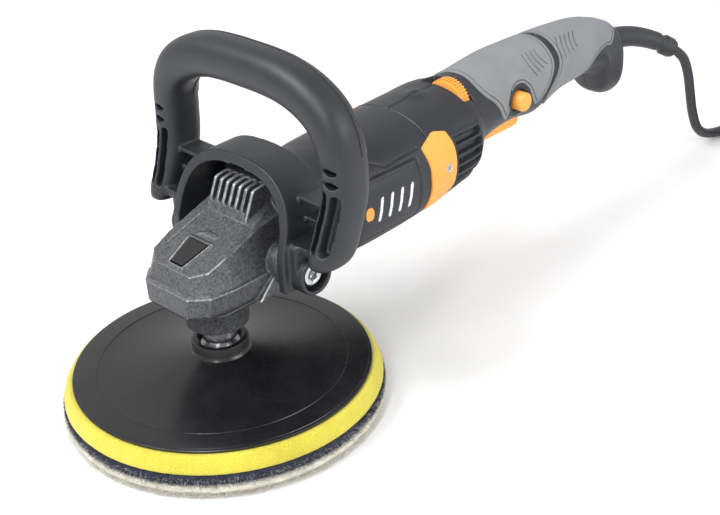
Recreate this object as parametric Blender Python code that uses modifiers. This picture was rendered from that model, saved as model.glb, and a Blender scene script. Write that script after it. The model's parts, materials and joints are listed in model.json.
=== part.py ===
"""Rotary polisher, in metres.

The origin is on the spindle axis, at the face of the polishing pad. +X runs to the rear handle, the
side with the lock-on button is -Y, and +Z is up.
"""

import math

import bmesh
import bpy
from mathutils import Vector

# ---- Driving dimensions ---------------------------------------------------------------------------
GAP = 0.0003                 # clearance between pieces that touch
FIT = 0.0003                 # radial clearance of a bore on its shaft

# Working stack, from the floor up
PAD_RADIUS = 0.0925
WOOL_THICKNESS = 0.0080
HOOK_THICKNESS = 0.0058
FOAM_THICKNESS = 0.0098
FOAM_TOP_RADIUS = 0.0855
FOAM_BOTTOM_RADIUS = 0.0900
PLATE_RADIUS = 0.0842
PLATE_EDGE = 0.0020          # height of the plate's rim
PLATE_STEP_RADIUS = 0.0705
HUB_RADIUS = 0.0160
HUB_TOP = 0.0430
HUB_RECESS_RADIUS = 0.0125
HUB_RECESS = 0.0030
INSERT_RADIUS = 0.0110
THREAD_RADIUS = 0.0070
PLATE_FLOOR = 0.0030         # plate left below the threaded insert

# Spindle, gears and bearings
COLLAR_RADIUS = 0.0100
COLLAR_TOP = 0.0560
JOURNAL_RADIUS = 0.0075
LOWER_BEARING_RADIUS = 0.0160
LOWER_BEARING_WIDTH = 0.0065
GEAR_SEAT_RADIUS = 0.0080
SPINDLE_TIP_RADIUS = 0.0030
BUSH_RADIUS = 0.0050
BUSH_LENGTH = 0.0060
RACE_WALL = 0.0026           # thickness of a bearing ring

MOTOR_HEIGHT = 0.0950        # height of the armature axis
CROWN_TEETH = 24
PINION_TEETH = 6
CROWN_INNER = 0.0140         # toothed band of the crown gear
CROWN_OUTER = 0.0205
CROWN_BOTTOM = 0.0800
CROWN_WEB_TOP = 0.0870
TOOTH_ABOVE = 0.0007
TOOTH_BELOW = 0.0013
LOCK_HOLES = 8
LOCK_HOLE_RADIUS = 0.0020
LOCK_PIN_RADIUS = 0.0014
LOCK_PIN_X = -0.0107
LOCK_TRAVEL = 0.0030

# Gear case
CASE_BOTTOM = 0.0720
CASE_CAVITY_RADIUS = 0.0215
CASE_CAVITY_TOP = 0.0932
CASE_REAR = 0.0477
CASE_FLANGE_RADIUS = 0.0355
CASE_SLOPE_START = (-0.0260, 0.0970)   # x and z where the sloping roof begins
CASE_SLOPE = 0.384
PINION_TUNNEL_RADIUS = 0.0095
VENT_FRONT = 0.0125
VENT_HALF_WIDTH = 0.0158
VENT_TOP = 0.1290
VENT_SLOTS = 6
VENT_PITCH = 0.0050
VENT_SLOT_WIDTH = 0.0030
FLANGE_BOTTOM = 0.0530
FLANGE_BOSS_RADIUS = 0.0178
FLANGE_HALF_WIDTH = 0.0248   # its two flat sides
FLANGE_CONE = ((0.0215, 0.0690), (0.0180, 0.0660))   # radius and height down its underside
FLANGE_RADIUS = 0.0278
FLANGE_SCREW_CIRCLE = 0.0242
FLANGE_SCREW_HEAD = 0.0030
FLANGE_SCREW_RADIUS = 0.0018
FLANGE_SCREW_END = 0.0815

# Motor
HOUSING_FRONT = 0.0480
HOUSING_REAR = 0.1410
HOUSING_BORE = 0.0270
SHAFT_RADIUS = 0.0050
MOTOR_BEARING_RADIUS = 0.0130
MOTOR_BEARING_WIDTH = 0.0080
FRONT_BEARING_X = 0.0320
FAN_X = 0.0495
FAN_LENGTH = 0.0095
FAN_RADIUS = 0.0252
FAN_BLADES = 7
STATOR_X = 0.0660
STATOR_LENGTH = 0.0500
STATOR_WALL = 0.0115
AIR_GAP = 0.0008
COMMUTATOR_X = 0.1230
COMMUTATOR_LENGTH = 0.0150
COMMUTATOR_RADIUS = 0.0110
REAR_BEARING_X = 0.1460
BRIDGE_X = 0.1430
BRUSH_X = 0.1305
BRUSH_LENGTH = 0.0130

# Brush covers, side panels and grips, each set into the body's surface
COVER_FRONT = 0.1300
COVER_REAR = 0.1550
COVER_TOP = 0.1240
COVER_BOTTOM = 0.0830
COVER_DEPTH = 0.0030
PANEL_FRONT = 0.0790
PANEL_REAR = 0.1240
PANEL_LIP = 0.0362           # the panel's pocket reaches in to this distance from the middle
GRIP_DEPTH = 0.0016
SHELL_WALL = 0.0030

# Loop handle
LOOP_ARCH_HEIGHT = 0.1000    # height of the arch's centre
LOOP_ARCH_INNER = 0.0400     # half the width between its cheeks
LOOP_ARCH_RISE = 0.0373
LOOP_ARCH_SQUARE = 2.7
LOOP_ARCH_WALL = 0.0056
LOOP_FRONT = 0.0120
LOOP_FRONT_SLOPE = 0.333     # how far the arch's front face leans back for each unit of height
LOOP_REAR = 0.0500
LOOP_BOLT = (0.0274, 0.0882)           # x and z of the handle bolts
BOSS_RADIUS = 0.0112
CUP_RADIUS = 0.0090
CUP_OUT = 0.0545
BOLT_RADIUS = 0.0040
BOLT_HEAD_RADIUS = 0.0065
BOLT_HEAD_HEIGHT = 0.0045
INSERT_CUT_X = 0.0450        # plane that parts the rear cover from the loop
INSERT_CUT_Z = 0.1560
INSERT_DEPTH = 0.0032

# Controls
TRIGGER_FRONT = 0.1990
TRIGGER_REAR = 0.2510
TRIGGER_BOTTOM = 0.0835
TRIGGER_TOP = 0.0940
TRIGGER_HALF_WIDTH = 0.0095
TRIGGER_PIVOT = (0.2020, 0.0915)       # x and z of the trigger's hinge
BUTTON_PLACE = (0.2330, 0.1100)        # x and z of the lock-on button
BUTTON_RADIUS = 0.0060
BUTTON_TRAVEL = 0.0030
DIAL_RADIUS = 0.0145
DIAL_WIDTH = 0.0074
DIAL_CENTRE = (0.1875, -0.0070, 0.1208)

# Cord
CORD_RADIUS = 0.0035
COIL_CENTRE = (0.5000, -0.0860)
COIL_RADIUS = 0.0390         # to the middle of its turns
COIL_HALF_WIDTH = 0.0150
COIL_HEIGHT = 0.0148

# Stations of the body: x, bottom, top, half width, squareness of the section
BODY = (
    (0.0460, 0.0620, 0.1290, 0.0345, 2.0),
    (0.0720, 0.0620, 0.1290, 0.0350, 2.0),
    (0.0840, 0.0625, 0.1290, 0.0380, 2.25),
    (0.1280, 0.0645, 0.1300, 0.0392, 2.3),
    (0.1650, 0.0690, 0.1310, 0.0388, 2.25),
    (0.1790, 0.0730, 0.1318, 0.0380, 2.2),
    (0.1870, 0.0770, 0.1320, 0.0350, 2.2),
    (0.1920, 0.0800, 0.1320, 0.0295, 2.1),
    (0.1990, 0.0825, 0.1320, 0.0262, 2.1),
    (0.2080, 0.0860, 0.1320, 0.0252, 2.1),
    (0.2220, 0.0885, 0.1335, 0.0246, 2.1),
    (0.2400, 0.0890, 0.1350, 0.0243, 2.1),
    (0.2590, 0.0860, 0.1348, 0.0236, 2.1),
    (0.2720, 0.0905, 0.1342, 0.0228, 2.1),
    (0.2900, 0.0945, 0.1332, 0.0218, 2.1),
    (0.3180, 0.0945, 0.1306, 0.0212, 2.1),
    (0.3300, 0.0920, 0.1285, 0.0200, 2.2),
    (0.3350, 0.0830, 0.1272, 0.0190, 2.4),
    (0.3390, 0.0750, 0.1258, 0.0180, 2.6),
    (0.3460, 0.0715, 0.1234, 0.0170, 2.7),
    (0.3540, 0.0715, 0.1192, 0.0160, 2.7),
    (0.3585, 0.0740, 0.1140, 0.0140, 2.5),
    (0.3600, 0.0810, 0.1070, 0.0100, 2.2),
)
BODY_AROUND = 28

# Stations of the gear case, from the bottom up: z, nose x, nose half width, side half width
CASE = (
    (0.0720, -0.0305, 0.0145, 0.0255),
    (0.0750, -0.0325, 0.0160, 0.0275),
    (0.0850, -0.0316, 0.0172, 0.0285),
    (0.0870, -0.0296, 0.0166, 0.0268),
    (0.0970, -0.0264, 0.0148, 0.0250),
    (0.1240, -0.0200, 0.0135, 0.0200),
)
CASE_SHOULDER = -0.0080      # x where the sides reach their full width
CASE_LOFT_REAR = 0.0400

# Half of the loop, from the foot of a leg to the middle of the bar:
# x, y, z, half depth along X, half width across the path
LOOP = (
    (0.0265, 0.0650, 0.0995, 0.0100, 0.0060),
    (0.0280, 0.0652, 0.1020, 0.0135, 0.0085),
    (0.0305, 0.0655, 0.1080, 0.0145, 0.0098),
    (0.0346, 0.0660, 0.1190, 0.0142, 0.0100),
    (0.0390, 0.0672, 0.1340, 0.0135, 0.0098),
    (0.0402, 0.0672, 0.1480, 0.0130, 0.0102),
    (0.0400, 0.0660, 0.1600, 0.0128, 0.0108),
    (0.0396, 0.0628, 0.1700, 0.0126, 0.0116),
    (0.0394, 0.0560, 0.1788, 0.0124, 0.0121),
    (0.0394, 0.0445, 0.1856, 0.0123, 0.0122),
    (0.0394, 0.0300, 0.1897, 0.0122, 0.0122),
    (0.0394, 0.0150, 0.1911, 0.0122, 0.0122),
)
LOOP_BAR_HEIGHT = 0.1913
LOOP_AROUND = 16

RELIEF_ROUTE = (
    (0.3575, 0.0000, 0.1035),
    (0.3680, 0.0000, 0.1035),
    (0.3830, -0.0040, 0.1010),
    (0.3980, -0.0110, 0.0950),
    (0.4110, -0.0185, 0.0863),
)
RELIEF_RADII = (0.0080, 0.0076, 0.0072, 0.0067, 0.0062)
RELIEF_CLEARANCE = 0.0010

CORD_ROUTE = (
    (0.4120, -0.0191, 0.0855),
    (0.4152, -0.0208, 0.0827),
    (0.4200, -0.0230, 0.0762),
    (0.4240, -0.0245, 0.0640),
    (0.4270, -0.0252, 0.0490),
    (0.4310, -0.0255, 0.0330),
    (0.4390, -0.0253, 0.0175),
    (0.4520, -0.0250, 0.0080),
    (0.4680, -0.0262, 0.0040),
    (0.4850, -0.0292, 0.0037),
)

TAIL_ROUTE = (
    (0.4690, -0.1362, 0.0098),
    (0.4600, -0.1362, 0.0092),
    (0.4500, -0.1362, 0.0096),
    (0.4405, -0.1362, 0.0100),
)
PLUG_REAR = 0.4400           # where the cord enters the plug
PLUG_SECTIONS = (            # distance from there, half width, half height
    (0.0000, 0.0048, 0.0048),
    (0.0090, 0.0055, 0.0055),
    (0.0110, 0.0090, 0.0080),
    (0.0200, 0.0145, 0.0094),
    (0.0400, 0.0180, 0.0096),
    (0.0440, 0.0172, 0.0090),
)
PIN_RADIUS = 0.0021
PIN_SPREAD = 0.0095
PIN_LENGTH = 0.0190

# Outlines of the grips seen from the side, x and z
GRIP_FRONT = (
    (0.2010, 0.1400), (0.2010, 0.1240), (0.2120, 0.1140), (0.2190, 0.1010), (0.2230, 0.1010),
    (0.2250, 0.1150), (0.2330, 0.1215), (0.2420, 0.1170), (0.2490, 0.1020), (0.2530, 0.1000),
    (0.2720, 0.1180), (0.2740, 0.1400),
)
GRIP_REAR = (
    (0.2800, 0.1400), (0.2780, 0.1180), (0.2600, 0.0980), (0.2700, 0.0940), (0.2900, 0.0985),
    (0.3080, 0.1020), (0.3160, 0.1130), (0.3400, 0.1110), (0.3500, 0.1180), (0.3500, 0.1400),
)

# Sizes that follow from the ones above
HOOK_BOTTOM = WOOL_THICKNESS
FOAM_BOTTOM = HOOK_BOTTOM + HOOK_THICKNESS + GAP
PLATE_BOTTOM = FOAM_BOTTOM + FOAM_THICKNESS + GAP
INSERT_BOTTOM = PLATE_BOTTOM + PLATE_FLOOR + GAP
INSERT_TOP = HUB_TOP - HUB_RECESS - GAP
LOWER_BEARING_BOTTOM = FLANGE_BOTTOM + 0.0035
BUSH_BOTTOM = CASE_CAVITY_TOP + 0.0005
BUSH_TOP = BUSH_BOTTOM + BUSH_LENGTH
PINION_BORE = 0.0030
BUTTON_FLOOR = 0.0973        # underside of the spindle lock button
BOLT_BOSS_OUT = LOOP_ARCH_INNER - GAP
COVER_SCREW = (0.1500, 0, 0.1000)
PANEL_OUTLINE = ((PANEL_FRONT, 0.0870), (PANEL_REAR, 0.0800), (PANEL_REAR, 0.1120), (PANEL_FRONT, 0.1080))
BRIDGE_HOLE_CIRCLE = 0.0181
BRIDGE_HOLE_RADIUS = 0.0036

# ---- Collections and materials --------------------------------------------------------------------


def clear_scene():
    for obj in list(bpy.data.objects):
        bpy.data.objects.remove(obj, do_unlink=True)


def new_collection(name, hidden=False):
    group = bpy.data.collections.new(name)
    bpy.context.scene.collection.children.link(group)
    group.hide_render = hidden
    return group


clear_scene()
PARTS = new_collection("rotary_polisher")
CUTTERS = new_collection("cutters", hidden=True)


def finish(obj, colour, roughness, metallic=0.0):
    """Gives the object its own Principled material."""
    material = bpy.data.materials.new(obj.name)
    material.use_nodes = True
    shader = material.node_tree.nodes["Principled BSDF"]
    shader.inputs["Base Color"].default_value = (*colour, 1.0)
    shader.inputs["Roughness"].default_value = roughness
    shader.inputs["Metallic"].default_value = metallic
    obj.data.materials.clear()
    obj.data.materials.append(material)
    return obj


def charcoal(obj):
    return finish(obj, (0.045, 0.050, 0.060), 0.55)


def black(obj):
    return finish(obj, (0.020, 0.020, 0.023), 0.50)


def rubber(obj):
    return finish(obj, (0.018, 0.018, 0.020), 0.75)


def grey_grip(obj):
    return finish(obj, (0.260, 0.270, 0.290), 0.70)


def orange(obj):
    return finish(obj, (0.940, 0.370, 0.045), 0.40)


def cast_metal(obj):
    return finish(obj, (0.070, 0.075, 0.085), 0.45, 0.6)


def steel(obj):
    return finish(obj, (0.560, 0.570, 0.580), 0.30, 1.0)


def brass(obj):
    return finish(obj, (0.700, 0.480, 0.200), 0.35, 1.0)


def copper(obj):
    return finish(obj, (0.720, 0.350, 0.180), 0.35, 1.0)


# ---- Modelling helpers ----------------------------------------------------------------------------


def new_object(name, mesh, group=PARTS):
    obj = bpy.data.objects.new(name, mesh)
    group.objects.link(obj)
    return obj


def face_outwards(bm):
    """Turns the faces of a closed mesh outwards."""
    bmesh.ops.recalc_face_normals(bm, faces=bm.faces)
    if bm.calc_volume(signed=True) < 0:
        bmesh.ops.reverse_faces(bm, faces=bm.faces)


def mesh_from(name, verts, faces, group=PARTS):
    """A closed mesh with its faces turned outwards."""
    bm = bmesh.new()
    made = [bm.verts.new(v) for v in verts]
    for face in faces:
        bm.faces.new([made[i] for i in face])
    face_outwards(bm)
    mesh = bpy.data.meshes.new(name)
    bm.to_mesh(mesh)
    bm.free()
    obj = new_object(name, mesh, group)
    mesh.shade_smooth()
    mesh.set_sharp_from_angle(angle=math.radians(35))
    return obj


def block(name, low, high, group=PARTS):
    """An upright box between two corners."""
    bm = bmesh.new()
    bmesh.ops.create_cube(bm, size=1.0)
    middle = (Vector(low) + Vector(high)) / 2
    size = Vector(high) - Vector(low)
    for vert in bm.verts:
        vert.co = Vector(a * b for a, b in zip(vert.co, size)) + middle
    mesh = bpy.data.meshes.new(name)
    bm.to_mesh(mesh)
    bm.free()
    return new_object(name, mesh, group)


def loft(name, rings, group=PARTS):
    """A skin over closed rings that have the same number of points, with flat ends."""
    count = len(rings[0])
    verts = [point for ring in rings for point in ring]
    faces = []
    for row in range(len(rings) - 1):
        for i in range(count):
            j = (i + 1) % count
            a = row * count
            faces.append((a + i, a + j, a + count + j, a + count + i))
    faces.append(tuple(range(count)))
    faces.append(tuple(range(len(verts) - count, len(verts))))
    return mesh_from(name, verts, faces, group)


TURN = {"X": (0.0, math.pi / 2, 0.0), "Y": (-math.pi / 2, 0.0, 0.0), "Z": (0.0, 0.0, 0.0)}


def turned(name, profile, steps=40, axis="Z", place=(0.0, 0.0, 0.0), group=PARTS):
    """A turned piece from (radius, height) points that run down its outer side.

    A profile that starts and ends on the axis is solid, and any other is closed into a ring.
    """
    solid = profile[0][0] == 0 and profile[-1][0] == 0
    edges = [(i, i + 1) for i in range(len(profile) - 1)]
    if not solid:
        edges.append((len(profile) - 1, 0))
    mesh = bpy.data.meshes.new(name)
    mesh.from_pydata([(r, 0.0, h) for r, h in profile], edges, [])
    obj = new_object(name, mesh, group)
    obj.location = place
    obj.rotation_euler = TURN[axis]
    screw = obj.modifiers.new("Turn", "SCREW")
    screw.axis = "Z"
    screw.steps = steps
    screw.render_steps = steps
    screw.use_merge_vertices = True
    screw.merge_threshold = 0.00001
    return obj


def cylinder(name, radius, low, high, steps=32, axis="Z", place=(0.0, 0.0, 0.0), group=PARTS):
    profile = [(0, high), (radius, high), (radius, low), (0, low)]
    return turned(name, profile, steps, axis, place, group)


def tube(name, outer, inner, low, high, steps=40, axis="Z", place=(0.0, 0.0, 0.0)):
    profile = [(outer, high), (outer, low), (inner, low), (inner, high)]
    return turned(name, profile, steps, axis, place)


def plate(name, outline, low, high, axis="Y", group=PARTS):
    """A flat outline, filled and given its thickness between two levels of an axis.

    For axis Y the outline is (x, z), for axis Z it is (x, y), and for axis X it is (y, z).
    """
    curve = bpy.data.curves.new(name, "CURVE")
    curve.dimensions = "2D"
    curve.fill_mode = "BOTH"
    curve.extrude = (high - low) / 2
    spline = curve.splines.new("POLY")
    spline.points.add(len(outline) - 1)
    for point, (a, b) in zip(spline.points, outline):
        point.co = (a, b, 0.0, 1.0)
    spline.use_cyclic_u = True
    guide = bpy.data.objects.new(name + "_outline", curve)
    bpy.context.scene.collection.objects.link(guide)
    bpy.context.view_layer.update()
    graph = bpy.context.evaluated_depsgraph_get()
    mesh = bpy.data.meshes.new_from_object(guide.evaluated_get(graph))
    bpy.data.objects.remove(guide, do_unlink=True)
    middle = (low + high) / 2
    bm = bmesh.new()
    bm.from_mesh(mesh)
    bmesh.ops.remove_doubles(bm, verts=bm.verts, dist=0.000001)
    for vert in bm.verts:
        a, b, c = vert.co
        if axis == "Y":
            vert.co = (a, middle + c, b)
        elif axis == "X":
            vert.co = (middle + c, a, b)
        else:
            vert.co = (a, b, middle + c)
    face_outwards(bm)
    bm.to_mesh(mesh)
    bm.free()
    mesh.name = name
    return new_object(name, mesh, group)


def boolean(target, other, operation):
    """Adds a live Boolean and puts the other shape among the cutters."""
    for group in list(other.users_collection):
        group.objects.unlink(other)
    CUTTERS.objects.link(other)
    other.hide_render = True
    other.display_type = "WIRE"
    step = target.modifiers.new(operation.title(), "BOOLEAN")
    step.operation = operation
    step.solver = "EXACT"
    step.object = other
    return target


def cut(target, other):
    return boolean(target, other, "DIFFERENCE")


def join(target, other):
    return boolean(target, other, "UNION")


def keep(target, other):
    return boolean(target, other, "INTERSECT")


def arc(centre, radius, start, end, steps):
    """Points of an arc between two angles in degrees."""
    angles = [math.radians(start + (end - start) * i / steps) for i in range(steps + 1)]
    return [(centre[0] + radius * math.cos(a), centre[1] + radius * math.sin(a)) for a in angles]


def superellipse(half_a, half_b, squareness, count):
    """Points of a rounded section, from a circle (2) towards a rectangle."""
    points = []
    for i in range(count):
        angle = 2 * math.pi * (i + 0.5) / count
        c, s = math.cos(angle), math.sin(angle)
        a = half_a * math.copysign(abs(c) ** (2 / squareness), c)
        b = half_b * math.copysign(abs(s) ** (2 / squareness), s)
        points.append((a, b))
    return points


def smooth_route(points, per_span):
    """A Catmull-Rom curve through the points."""
    points = [Vector(p) for p in points]
    ends = [2 * points[0] - points[1]] + points + [2 * points[-1] - points[-2]]
    route = []
    for p0, p1, p2, p3 in zip(ends, ends[1:], ends[2:], ends[3:]):
        for i in range(per_span):
            t = i / per_span
            route.append(0.5 * (2 * p1 + (p2 - p0) * t + (2 * p0 - 5 * p1 + 4 * p2 - p3) * t * t
                                + (3 * p1 - p0 - 3 * p2 + p3) * t ** 3))
    route.append(points[-1])
    return route


def wire(name, route, radius):
    """A round cable along a route."""
    curve = bpy.data.curves.new(name, "CURVE")
    curve.dimensions = "3D"
    curve.bevel_depth = radius
    curve.bevel_resolution = 2
    curve.use_fill_caps = True
    spline = curve.splines.new("POLY")
    spline.points.add(len(route) - 1)
    for point, place in zip(spline.points, route):
        point.co = (*place, 1.0)
    return new_object(name, curve)


# ---- Body sections --------------------------------------------------------------------------------


def body_station(x):
    """The body's bottom, top, half width and squareness at a distance along it."""
    for near, far in zip(BODY, BODY[1:]):
        if near[0] <= x <= far[0]:
            t = (x - near[0]) / (far[0] - near[0])
            return [a + (b - a) * t for a, b in zip(near[1:], far[1:])]
    return list((BODY[0] if x < BODY[0][0] else BODY[-1])[1:])


def body_ring(x, offset=0.0):
    bottom, top, half_width, squareness = body_station(x)
    half_height = max((top - bottom) / 2 + offset, 0.001)
    middle = (top + bottom) / 2
    half_width = max(half_width + offset, 0.001)
    shape = superellipse(half_width, half_height, squareness, BODY_AROUND)
    return [(x, y, middle + z) for y, z in shape]


def body_loft(name, start, end, offset=0.0):
    inside = [row[0] for row in BODY if start + 0.001 < row[0] < end - 0.001]
    return loft(name, [body_ring(x, offset) for x in [start, *inside, end]])


def half_space(name, side):
    """Everything on one side of the middle plane, less half a gap. Side is -1 for left, +1 for right."""
    low, high = sorted((side * GAP / 2, side * 0.2))
    return block(name, (-0.3, low, -0.1), (0.6, high, 0.3))


def skin_piece(name, start, end, outer, inner, region):
    """A piece of the body's skin between two offsets, inside a region."""
    piece = body_loft(name, start, end, outer)
    cut(piece, body_loft(name + "_core", start - 0.002, end + 0.002, inner))
    return keep(piece, region)


# ---- Working stack --------------------------------------------------------------------------------


def make_pads():
    edge = 0.0015
    top = WOOL_THICKNESS - GAP
    wool = turned("wool_pad", [(0, top), (PAD_RADIUS - edge, top), (PAD_RADIUS, top - edge),
                               (PAD_RADIUS, edge * 2), (PAD_RADIUS - edge * 2, 0), (0, 0)], 48)
    finish(wool, (0.850, 0.830, 0.780), 0.95)
    hook_top = HOOK_BOTTOM + HOOK_THICKNESS
    hook = cylinder("hook_layer", PAD_RADIUS - edge, HOOK_BOTTOM, hook_top, 48)
    finish(hook, (0.060, 0.065, 0.080), 0.95)
    foam_top = FOAM_BOTTOM + FOAM_THICKNESS
    foam = turned("foam_pad", [(0, foam_top), (FOAM_TOP_RADIUS, foam_top),
                               (FOAM_BOTTOM_RADIUS, FOAM_BOTTOM), (0, FOAM_BOTTOM)], 48)
    finish(foam, (0.800, 0.720, 0.050), 0.90)


def make_backing_plate():
    rim = PLATE_BOTTOM + PLATE_EDGE
    step = rim + 0.0020
    recess = HUB_TOP - HUB_RECESS
    pocket = INSERT_RADIUS + GAP
    profile = [
        (0, INSERT_BOTTOM - GAP), (pocket, INSERT_BOTTOM - GAP), (pocket, recess),
        (HUB_RECESS_RADIUS, recess), (HUB_RECESS_RADIUS, HUB_TOP),
        (HUB_RADIUS, HUB_TOP), (HUB_RADIUS + 0.0006, HUB_TOP - 0.0080),
        (HUB_RADIUS + 0.0050, HUB_TOP - 0.0110),
        (HUB_RADIUS + 0.0180, step + 0.0022), (PLATE_STEP_RADIUS - 0.0010, step),
        (PLATE_STEP_RADIUS, step - 0.0005), (PLATE_RADIUS - 0.0030, rim),
        (PLATE_RADIUS, rim - 0.0012), (PLATE_RADIUS, PLATE_BOTTOM), (0, PLATE_BOTTOM),
    ]
    black(turned("backing_plate", profile, 48))
    insert = tube("thread_insert", INSERT_RADIUS, THREAD_RADIUS + FIT, INSERT_BOTTOM, INSERT_TOP, 24)
    steel(insert)


# ---- Spindle group --------------------------------------------------------------------------------


def make_spindle():
    seat_top = CROWN_WEB_TOP + 0.0010
    profile = [
        (0, BUSH_TOP - GAP), (SPINDLE_TIP_RADIUS, BUSH_TOP - GAP), (SPINDLE_TIP_RADIUS, seat_top),
        (GEAR_SEAT_RADIUS - FIT, seat_top), (GEAR_SEAT_RADIUS - FIT, CROWN_BOTTOM),
        (GEAR_SEAT_RADIUS + 0.002, CROWN_BOTTOM - GAP), (GEAR_SEAT_RADIUS + 0.002, CROWN_BOTTOM - 0.003),
        (JOURNAL_RADIUS, CROWN_BOTTOM - 0.003), (JOURNAL_RADIUS, COLLAR_TOP),
        (COLLAR_RADIUS, COLLAR_TOP), (COLLAR_RADIUS, HUB_TOP + GAP),
        (THREAD_RADIUS, HUB_TOP + GAP), (THREAD_RADIUS, INSERT_BOTTOM + GAP),
        (0, INSERT_BOTTOM + GAP),
    ]
    steel(turned("spindle", profile, 24))


def bearing(name, x_or_z, width, outer, shaft, axis, place=(0.0, 0.0, 0.0)):
    """The two rings of a ball bearing, as outer and inner pieces."""
    low, high = x_or_z, x_or_z + width
    steel(tube(name + "_outer", outer, outer - RACE_WALL, low, high, 24, axis, place))
    steel(tube(name + "_inner", shaft + FIT + RACE_WALL, shaft + FIT, low, high, 24, axis, place))


def pitch_height(radius):
    """Height of the crown gear's pitch cone, whose apex is where the two axes cross."""
    return MOTOR_HEIGHT - radius * PINION_TEETH / CROWN_TEETH


def make_crown_gear():
    """A ring of straight teeth on a flat web. Each column of points is one step round it."""
    columns = []
    for i in range(CROWN_TEETH):
        for share, rise in ((-0.19, -TOOTH_BELOW), (-0.06, TOOTH_ABOVE), (0.06, TOOTH_ABOVE),
                            (0.19, -TOOTH_BELOW)):
            angle = 2 * math.pi * (i + share) / CROWN_TEETH
            section = [
                (GEAR_SEAT_RADIUS, CROWN_WEB_TOP), (CROWN_INNER - 0.001, CROWN_WEB_TOP),
                (CROWN_INNER, pitch_height(CROWN_INNER) + rise),
                (CROWN_OUTER, pitch_height(CROWN_OUTER) + rise),
                (CROWN_OUTER, CROWN_BOTTOM + 0.003), (CROWN_OUTER - 0.004, CROWN_BOTTOM),
                (GEAR_SEAT_RADIUS, CROWN_BOTTOM)]
            columns.append([(r * math.cos(angle), r * math.sin(angle), z) for r, z in section])
    count, size = len(columns), len(columns[0])
    faces = [(i * size + j, (i + 1) % count * size + j, (i + 1) % count * size + (j + 1) % size,
              i * size + (j + 1) % size) for i in range(count) for j in range(size)]
    gear = mesh_from("crown_gear", [point for column in columns for point in column], faces)
    for i in range(LOCK_HOLES):
        angle = math.pi + 2 * math.pi * i / LOCK_HOLES
        place = (-LOCK_PIN_X * math.cos(angle), -LOCK_PIN_X * math.sin(angle), 0.0)
        cut(gear, cylinder(f"lock_hole_{i}", LOCK_HOLE_RADIUS, CROWN_BOTTOM - 0.001,
                           CROWN_WEB_TOP + 0.001, 8, place=place))
    steel(gear)


def make_pinion():
    """A bevel pinion whose teeth mesh with the crown's with a little backlash."""
    rings = []
    for x in (CROWN_INNER - 0.0004, CROWN_OUTER + 0.0010):
        pitch_radius = x * PINION_TEETH / CROWN_TEETH
        ring = []
        for i in range(PINION_TEETH):
            # A gap faces straight down, where a crown tooth stands at rest.
            middle = -math.pi / 2 + 2 * math.pi * (i + 0.5) / PINION_TEETH
            pitch = 2 * math.pi / PINION_TEETH
            for share, radius in ((-0.20, pitch_radius - TOOTH_BELOW), (-0.05, pitch_radius + TOOTH_ABOVE),
                                  (0.05, pitch_radius + TOOTH_ABOVE), (0.20, pitch_radius - TOOTH_BELOW)):
                angle = middle + share * pitch
                ring.append((x, radius * math.cos(angle), MOTOR_HEIGHT + radius * math.sin(angle)))
        rings.append(ring)
    pinion = loft("pinion_gear", rings)
    end = FRONT_BEARING_X - 0.0010
    join(pinion, cylinder("pinion_hub", 0.0062, CROWN_OUTER + GAP, end, 18, "X", (0, 0, MOTOR_HEIGHT)))
    cut(pinion, cylinder("pinion_bore", PINION_BORE, 0.0215, end + 0.001, 12, "X", (0, 0, MOTOR_HEIGHT)))
    steel(pinion)


def make_spindle_group():
    make_spindle()
    make_crown_gear()
    bearing("lower_bearing", LOWER_BEARING_BOTTOM, LOWER_BEARING_WIDTH, LOWER_BEARING_RADIUS,
            JOURNAL_RADIUS, "Z")
    brass(tube("upper_bush", BUSH_RADIUS, SPINDLE_TIP_RADIUS + FIT, BUSH_BOTTOM, BUSH_TOP, 20))


# ---- Gear case ------------------------------------------------------------------------------------


def roof_height(x):
    return CASE_SLOPE_START[1] + (x - CASE_SLOPE_START[0]) * CASE_SLOPE


def case_ring(z, nose, nose_half, side_half):
    """The case seen from above, as a nose with chamfered corners and straight sides."""
    bend = (nose + CASE_SHOULDER) / 2 - 0.003
    bend_half = (nose_half + side_half) / 2 + 0.003
    half = [(nose, nose_half), (bend, bend_half), (CASE_SHOULDER, side_half), (CASE_LOFT_REAR, side_half)]
    return [(x, y, z) for x, y in half] + [(x, -y, z) for x, y in reversed(half)]


def button_outline(grow=0.0):
    front, rear = -0.0228, -0.0066
    return [(front - grow, 0.0046 + grow), (rear + grow, 0.0077 + grow),
            (rear + grow, -0.0077 - grow), (front - grow, -0.0046 - grow)]


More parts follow.
